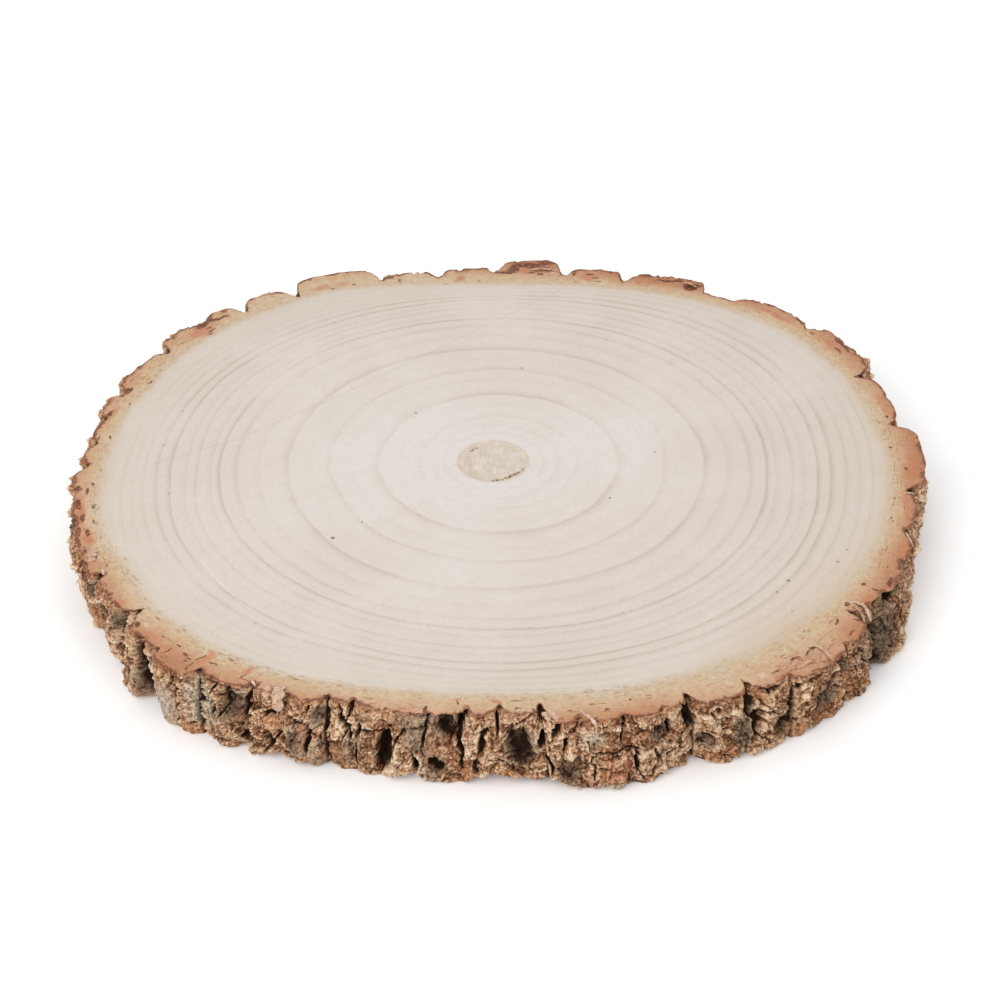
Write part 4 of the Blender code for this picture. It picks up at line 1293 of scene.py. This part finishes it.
def pith_disc(name, height, side):
    """A disc of rings round a middle point. Its surface sinks by 0.25 mm inside the lip, with shallow
    upright streaks across it and crevices cut along its edge. side is 1 for the upper face and -1 for the
    lower."""
    degrees = np.linspace(0, 360, 241)[None, :]
    share = np.concatenate([[0.0], np.linspace(0.03, 1.0, 46), [1.02]])[:, None]
    radius = PITH_RADIUS * share + 0 * degrees
    radius = np.where(share >= 1, ring_radius(PITH_RADIUS, degrees) + (share - 1) * 10, radius)
    points = place(degrees, radius, 0.0)
    x, y = points[..., 0] / MM - PITH_AT[0], points[..., 1] / MM - PITH_AT[1]
    strands = 0.04 * np.sin(x * 3.1 + 0.7 * np.sin(y * 0.9)) * (1 - share**4)
    sunk = 0.05 * (share > 1) + 0.25 * smoothstep(1.0, 0.85, share) + strands
    cut = np.zeros(radius.shape)
    for angle, half_width, middle, depth in CREVICES:
        across = ((degrees - angle + 180) % 360 - 180) / half_width
        wander = middle + 0.015 * np.sin(np.radians(degrees * 23))
        cut = np.maximum(cut, depth * np.exp(-(across**4)) * np.exp(-(((share - wander) / 0.04) ** 2)))
    beside = (x + 8.2 + 0.1 * y + 0.3 * np.sin(y * 0.7)) / 0.5
    split = 0.3 * np.exp(-(beside**2)) * smoothstep(9, 5, np.abs(y + 1))
    sunk = sunk + (cut + split) * smoothstep(1.0, 0.985, share)
    points[..., 2] = (height - side * sunk) * MM
    turned = np.radians(degrees)
    flat = 0.5 + 0.49 * np.stack([share * np.cos(turned), share * np.sin(turned)], -1)
    marks = {"gap": np.clip(cut / 1.1, 0, 1), "split": split / 0.3, "share": share + 0 * radius}
    piece = skin(name, points, marks, flat, turned=side < 0)
    weld(piece)
    return piece


pith_top = pith_disc("pith_top", THICKNESS, 1)
pith_under = pith_disc("pith_under", 0.0, -1)
print(len(CREVICES), "stretches of crevice in each disc of pith")

# %% [markdown]
# Its finish is cream, mottled with grey. The strands, the tan edge and the crevices follow numbers that the
# disc stores, so that the colour lies where the relief is.


# %% Pith finish
def pith():
    """Cream mottled with grey, fine strands across it, a tan edge whose strength is share + wander, and the
    crevices: tan at their lips and brown inside."""
    material, tree, shader, here = new_finish("pith")
    cloud, strands = speckle(tree, here, 260.0, 4.0, 0.6), speckle(tree, here, 1.0, 3.0, 0.6, (900, 160, 200))
    mottle = ramp(tree, cloud, (0.35, 0.0), (0.65, 1.0))
    base = mix(tree, mottle, paint(204, 192, 177), paint(218, 208, 198))
    base = mix(tree, ramp(tree, strands, (0.35, 0.4), (0.6, 0.0)), base, paint(190, 174, 152))
    patches = speckle(tree, here, 150.0, 3.0, 0.6)
    wander = times(tree, calc(tree, "SUBTRACT", patches, 0.5), 0.5)
    edge = calc(tree, "ADD", stored(tree, "share"), wander)
    edge = ramp(tree, edge, (0.74, 0.0), (0.9, 0.55), (0.97, 0.6), (1.0, 0.1))
    edge = times(tree, edge, ramp(tree, patches, (0.36, 0.25), (0.6, 1.0)))
    base = mix(tree, edge, base, paint(204, 187, 162))
    base = mix(tree, times(tree, stored(tree, "split"), 0.7), base, paint(208, 178, 168))
    crumbled = ramp(tree, speckle(tree, here, 900.0, 3.0), (0.35, 0.3), (0.5, 1.0))
    crevice = times(tree, stored(tree, "gap"), crumbled)
    base = mix(tree, ramp(tree, crevice, (0.03, 0.0), (0.3, 0.5)), base, paint(206, 176, 130))
    base = mix(tree, ramp(tree, crevice, (0.2, 0.0), (0.6, 0.9)), base, paint(104, 76, 48))
    base = mix(tree, 1.0, base, BOARD_TONE, "MULTIPLY")
    join(tree, shader, base, calc(tree, "ADD", cloud, strands), 0.15 * MM, 0.8)
    return material


pith_finish = pith()
for piece in (pith_top, pith_under):
    piece.data.materials.append(pith_finish)
    belongs(piece)

# %% [markdown]
# ## Flakes and splinters
#
# The saw tears the bark's edge. Thin flakes stay hanging over the rim, and splinters curl up from it. Each
# one is a closed sheet with a lens-shaped section, laid along a smooth curve through a few places. Where a
# flake lies on the side, it is laid on the relief itself.


# %% Flakes
# (how pale, width, thickness, how far it faces outwards in degrees, places), each place being (angle, mm
# outside the cambium, height)
FLAKES = (
    (0.6, 3.4, 0.8, 10, [(201.2, 5.4, 25.8), (202.2, 6.4, 26.5), (203.5, 7.2, 25.8)]),
    (0.7, 1.4, 0.5, 0, [(205.6, 4.4, 25.8), (206.2, 5.0, 26.3), (206.9, 5.4, 25.8)]),
    (0.3, 2.6, 0.7, 20, [(216.2, 5.0, 25.8), (217.2, 7.4, 26.4), (217.9, 9.4, 25.2)]),
    (0.5, 2.0, 0.7, 60, [(203.6, 0, 21.5), (204.6, 0, 19.0), (204.4, 0, 16.5)]),
    (0.9, 0.9, 0.5, 20, [(237.8, 6.2, 25.8), (238.1, 7.0, 26.2), (238.7, 7.6, 25.4)]),
    (0.55, 4.4, 0.9, 45, [(241.6, 4.8, 25.9), (242.0, 8.8, 26.0), (242.7, 12.0, 21.0)]),
    (0.3, 2.6, 0.7, 40, [(240.6, 6.0, 25.8), (240.5, 8.6, 25.9), (240.9, 10.4, 23.0)]),
    (0.1, 0.5, 0.5, 80, [(261.6, 0, 12.6), (262.2, 0, 11.2), (262.9, 0, 9.8)]),
    (0.7, 0.4, 0.5, 80, [(262.1, 0, 12.8), (262.7, 0, 11.4), (263.4, 0, 10.0)]),
    (0.1, 0.4, 0.4, 80, [(261.3, 0, 11.4), (261.9, 0, 10.2), (262.5, 0, 9.0)]),
    (0.9, 0.9, 0.5, 60, [(268.6, 0, 20.8), (268.9, 0, 20.0), (269.3, 0, 19.0)]),
    (0.6, 1.8, 0.7, 30, [(276.4, 6.6, 25.8), (277.0, 8.2, 26.2), (277.2, 9.6, 24.8)]),
    (0.6, 1.9, 0.7, 30, [(277.6, 6.8, 25.8), (278.1, 8.6, 26.1), (278.3, 10.2, 24.4)]),
    (0.8, 1.1, 0.6, 45, [(281.6, 5.6, 25.9), (282.0, 8.6, 26.4), (282.8, 11.6, 25.2), (282.6, 13.4, 22.0)]),
    (0.9, 1.6, 0.5, 70, [(281.0, 0, 20.2), (282.1, 0, 19.4), (283.4, 0, 19.8)]),
    (0.0, 3.6, 1.0, 15, [(308.0, 7.4, 25.8), (310.6, 8.8, 26.4), (313.0, 10.2, 26.5), (314.6, 13.4, 25.2)]),
    (0.5, 1.1, 0.5, 25, [(314.5, 4.2, 25.9), (315.2, 7.4, 26.5), (314.9, 11.4, 26.3), (315.1, 14.8, 24.6)]),
    (0.45, 1.6, 0.5, 25, [(325.3, 1.0, 25.9), (325.9, 4.2, 26.5), (325.2, 8.2, 26.4), (323.7, 11.8, 25.2)]),
    (0.1, 0.9, 0.5, 25, [(324.3, 1.8, 25.9), (324.8, 4.8, 26.3), (324.0, 8.2, 26.2), (323.0, 10.6, 25.2)]),
    (0.7, 0.7, 0.4, 10, [(343.4, 7.0, 25.9), (342.2, 8.6, 26.3), (340.6, 11.0, 25.7)]),
    (0.7, 0.7, 0.4, 10, [(352.4, 8.2, 25.8), (352.2, 5.8, 26.3), (351.6, 3.4, 25.8)]),
    (0.4, 2.2, 0.7, 20, [(79.0, 8.0, 25.8), (81.6, 9.2, 26.6), (84.2, 9.0, 25.8)]),
    (0.4, 2.4, 0.8, 30, [(56.0, 4.0, 25.8), (57.4, 5.2, 26.4), (58.8, 5.0, 25.7)]),
    (0.5, 2.4, 0.8, 60, [(160.0, 0, 20.0), (161.2, 0, 17.0), (161.0, 0, 13.0)]),
    (0.5, 2.8, 0.8, 70, [(20.0, 0, 14.0), (21.0, 0, 11.0), (20.4, 0, 8.0)]),
)
print(len(FLAKES), "flakes and splinters")

# %% [markdown]
# All flakes are strips of one grid, so a single call of `skin` makes them, and each gets a tile of its own
# on the UV map. A curve through three or four places needs no tangents by hand: a polynomial that passes
# through them is smooth by itself.


# %% Flakes as strips
def flakes(name):
    """For each flake a curve runs smoothly through its places. Round the curve goes a section: half width *
    cos t sideways and half thickness * sin t outwards. Both shrink towards the tips as sqrt(1 - s^4)."""
    s, t = np.linspace(-1, 1, 15), np.linspace(0, 2 * np.pi, 11)[:-1]
    round_cos, round_sin = np.cos(t)[None, :, None], np.sin(t)[None, :, None]
    fit = np.polynomial.polynomial.Polynomial.fit
    grids, paleness = [], []
    for pale, width, thickness, facing, places in FLAKES:
        angle, out, height = np.array(places).T
        surface = bark_relief(angle, height)[0]
        angle, out = leaning(angle, height), np.where(height < 25, np.maximum(out, surface + 0.1), out)
        knots = place(angle, cambium(angle) + out, height) / MM
        even, power = np.linspace(-1, 1, len(knots)), len(knots) - 1
        line = np.stack([fit(even, part, power)(s) for part in knots.T], -1)
        forward = np.gradient(line, axis=0)
        turned, lean = math.radians(angle.mean()), math.radians(facing)
        sideways = math.sin(lean)
        outward = np.array((math.cos(turned) * sideways, math.sin(turned) * sideways, math.cos(lean)))
        side = np.cross(forward, outward)
        side /= np.linalg.norm(side, axis=1, keepdims=True)
        normal = np.cross(side, forward)
        normal /= np.linalg.norm(normal, axis=1, keepdims=True)
        taper = np.sqrt(1 - s**4)[:, None, None]
        ragged = 1 + 0.25 * np.sin(9 * s + 5 * pale + width)[:, None, None]
        across = width / 2 * ragged * round_cos * side[:, None]
        up = thickness / 2 * round_sin * normal[:, None]
        grids.append(line[:, None] + taper * (across + up))
        paleness.append(np.full((len(s), len(t)), pale))
    points, count = np.concatenate(grids) * MM, len(FLAKES)
    # Each flake has its own tile on the UV map
    tile = np.repeat(np.arange(count), len(s))[:, None]
    column, row = tile % 5, tile // 5
    u = (column + 0.1 + 0.8 * np.linspace(0, 1, len(t) + 1)[None, :]) / 5
    v = (row + 0.1 + 0.4 * (np.tile(s, count)[:, None] + 1)) / 5
    flat = np.stack(np.broadcast_arrays(u, v), -1)
    marks = {"pale": np.concatenate(paleness)}
    piece = skin(name, points, marks, flat, wrap=True, turned=True, strips=count)
    weld(piece)
    return piece


splinters = flakes("flakes_and_splinters")
print("flakes as strips:", len(splinters.data.polygons), "faces")

# %% [markdown]
# Torn inner bark is tan, and where it has dried in the sun it is paler. Each flake's own number says which.


# %% Flake finish
def flake_finish():
    """Tan or pale by the flake's own number, with a grain that is dark where the fine noise is low."""
    material, tree, shader, here = new_finish("flakes")
    grain, fine = speckle(tree, here, 500.0, 3.0), speckle(tree, here, 1400.0, 3.0, 0.7)
    tan = ramp(tree, grain, (0.35, paint(160, 110, 80)), (0.6, paint(204, 160, 126)))
    light = ramp(tree, grain, (0.35, paint(188, 156, 130)), (0.6, paint(226, 204, 184)))
    base = mix(tree, stored(tree, "pale"), tan, light)
    base = mix(tree, ramp(tree, fine, (0.36, 0.7), (0.48, 0.0)), base, paint(112, 74, 54))
    join(tree, shader, base, fine, 0.3 * MM, 0.85)
    return material


splinters.data.materials.append(flake_finish())
belongs(splinters)

# %% [markdown]
# ## Floor, light and camera
#
# The slice lies on a plain white table, lit as a small studio would: white all round, and one big soft box
# above and to the left, with a weaker one overhead for the far side.


# %% Studio
def white_table():
    """One large square under the slice."""
    mesh = bpy.data.meshes.new("table")
    mesh.from_pydata([(-3, -3, 0), (3, -3, 0), (3, 3, 0), (-3, 3, 0)], [], [(0, 1, 2, 3)])
    table = bpy.data.objects.new("table", mesh)
    bpy.context.scene.collection.objects.link(table)
    material, _, shader, _ = new_finish("table_white")
    shader.inputs["Base Color"].default_value = (0.92, 0.92, 0.92, 1)
    shader.inputs["Roughness"].default_value = 0.9
    shader.inputs["Emission Color"].default_value = (1, 1, 1, 1)
    shader.inputs["Emission Strength"].default_value = 0.1
    mesh.materials.append(material)
    return table


def soft_box(name, at, size, power):
    """A square lamp that faces the middle of the slice, tilted by the angle of the way there and turned to
    it."""
    lamp = bpy.data.lights.new(name, "AREA")
    lamp.size, lamp.energy = size, power
    made = bpy.data.objects.new(name, lamp)
    made.location = at
    x, y, z = (-part for part in at)
    made.rotation_euler = (math.atan2(math.hypot(x, y), -z), 0, math.atan2(-x, y))
    bpy.context.scene.collection.objects.link(made)


white_table()
soft_box("key_box", (-0.7, -1.2, 1.3), 1.4, 18)
soft_box("top_box", (0.2, 0.5, 1.8), 2.0, 8.5)
world = bpy.data.worlds.new("studio_air")
world.use_nodes = True
world.node_tree.nodes["Background"].inputs["Color"].default_value = (1, 1, 1, 1)
world.node_tree.nodes["Background"].inputs["Strength"].default_value = 0.68
bpy.context.scene.world = world
bpy.context.scene.view_settings.view_transform = "Standard"
print("table, two soft boxes and white air")

# %% [markdown]
# The camera looks down at 36 degrees through a long lens, so the far rim is only a little smaller than the
# near one. It aims at a place on the upper face, a little in front of the pith.

# %% Camera
ELEVATION, DISTANCE = math.radians(36), 950 * MM
AIM = (-0.2 * MM, -21.5 * MM, THICKNESS * MM)
camera_data = bpy.data.cameras.new("camera")
camera_data.lens = 97.7
camera = bpy.data.objects.new("camera", camera_data)
camera.location = (AIM[0], AIM[1] - DISTANCE * math.cos(ELEVATION), AIM[2] + DISTANCE * math.sin(ELEVATION))
camera.rotation_euler = (math.radians(90) - ELEVATION, 0, 0)
bpy.context.scene.collection.objects.link(camera)
bpy.context.scene.camera = camera
print("camera", round(DISTANCE / MM), "mm away")
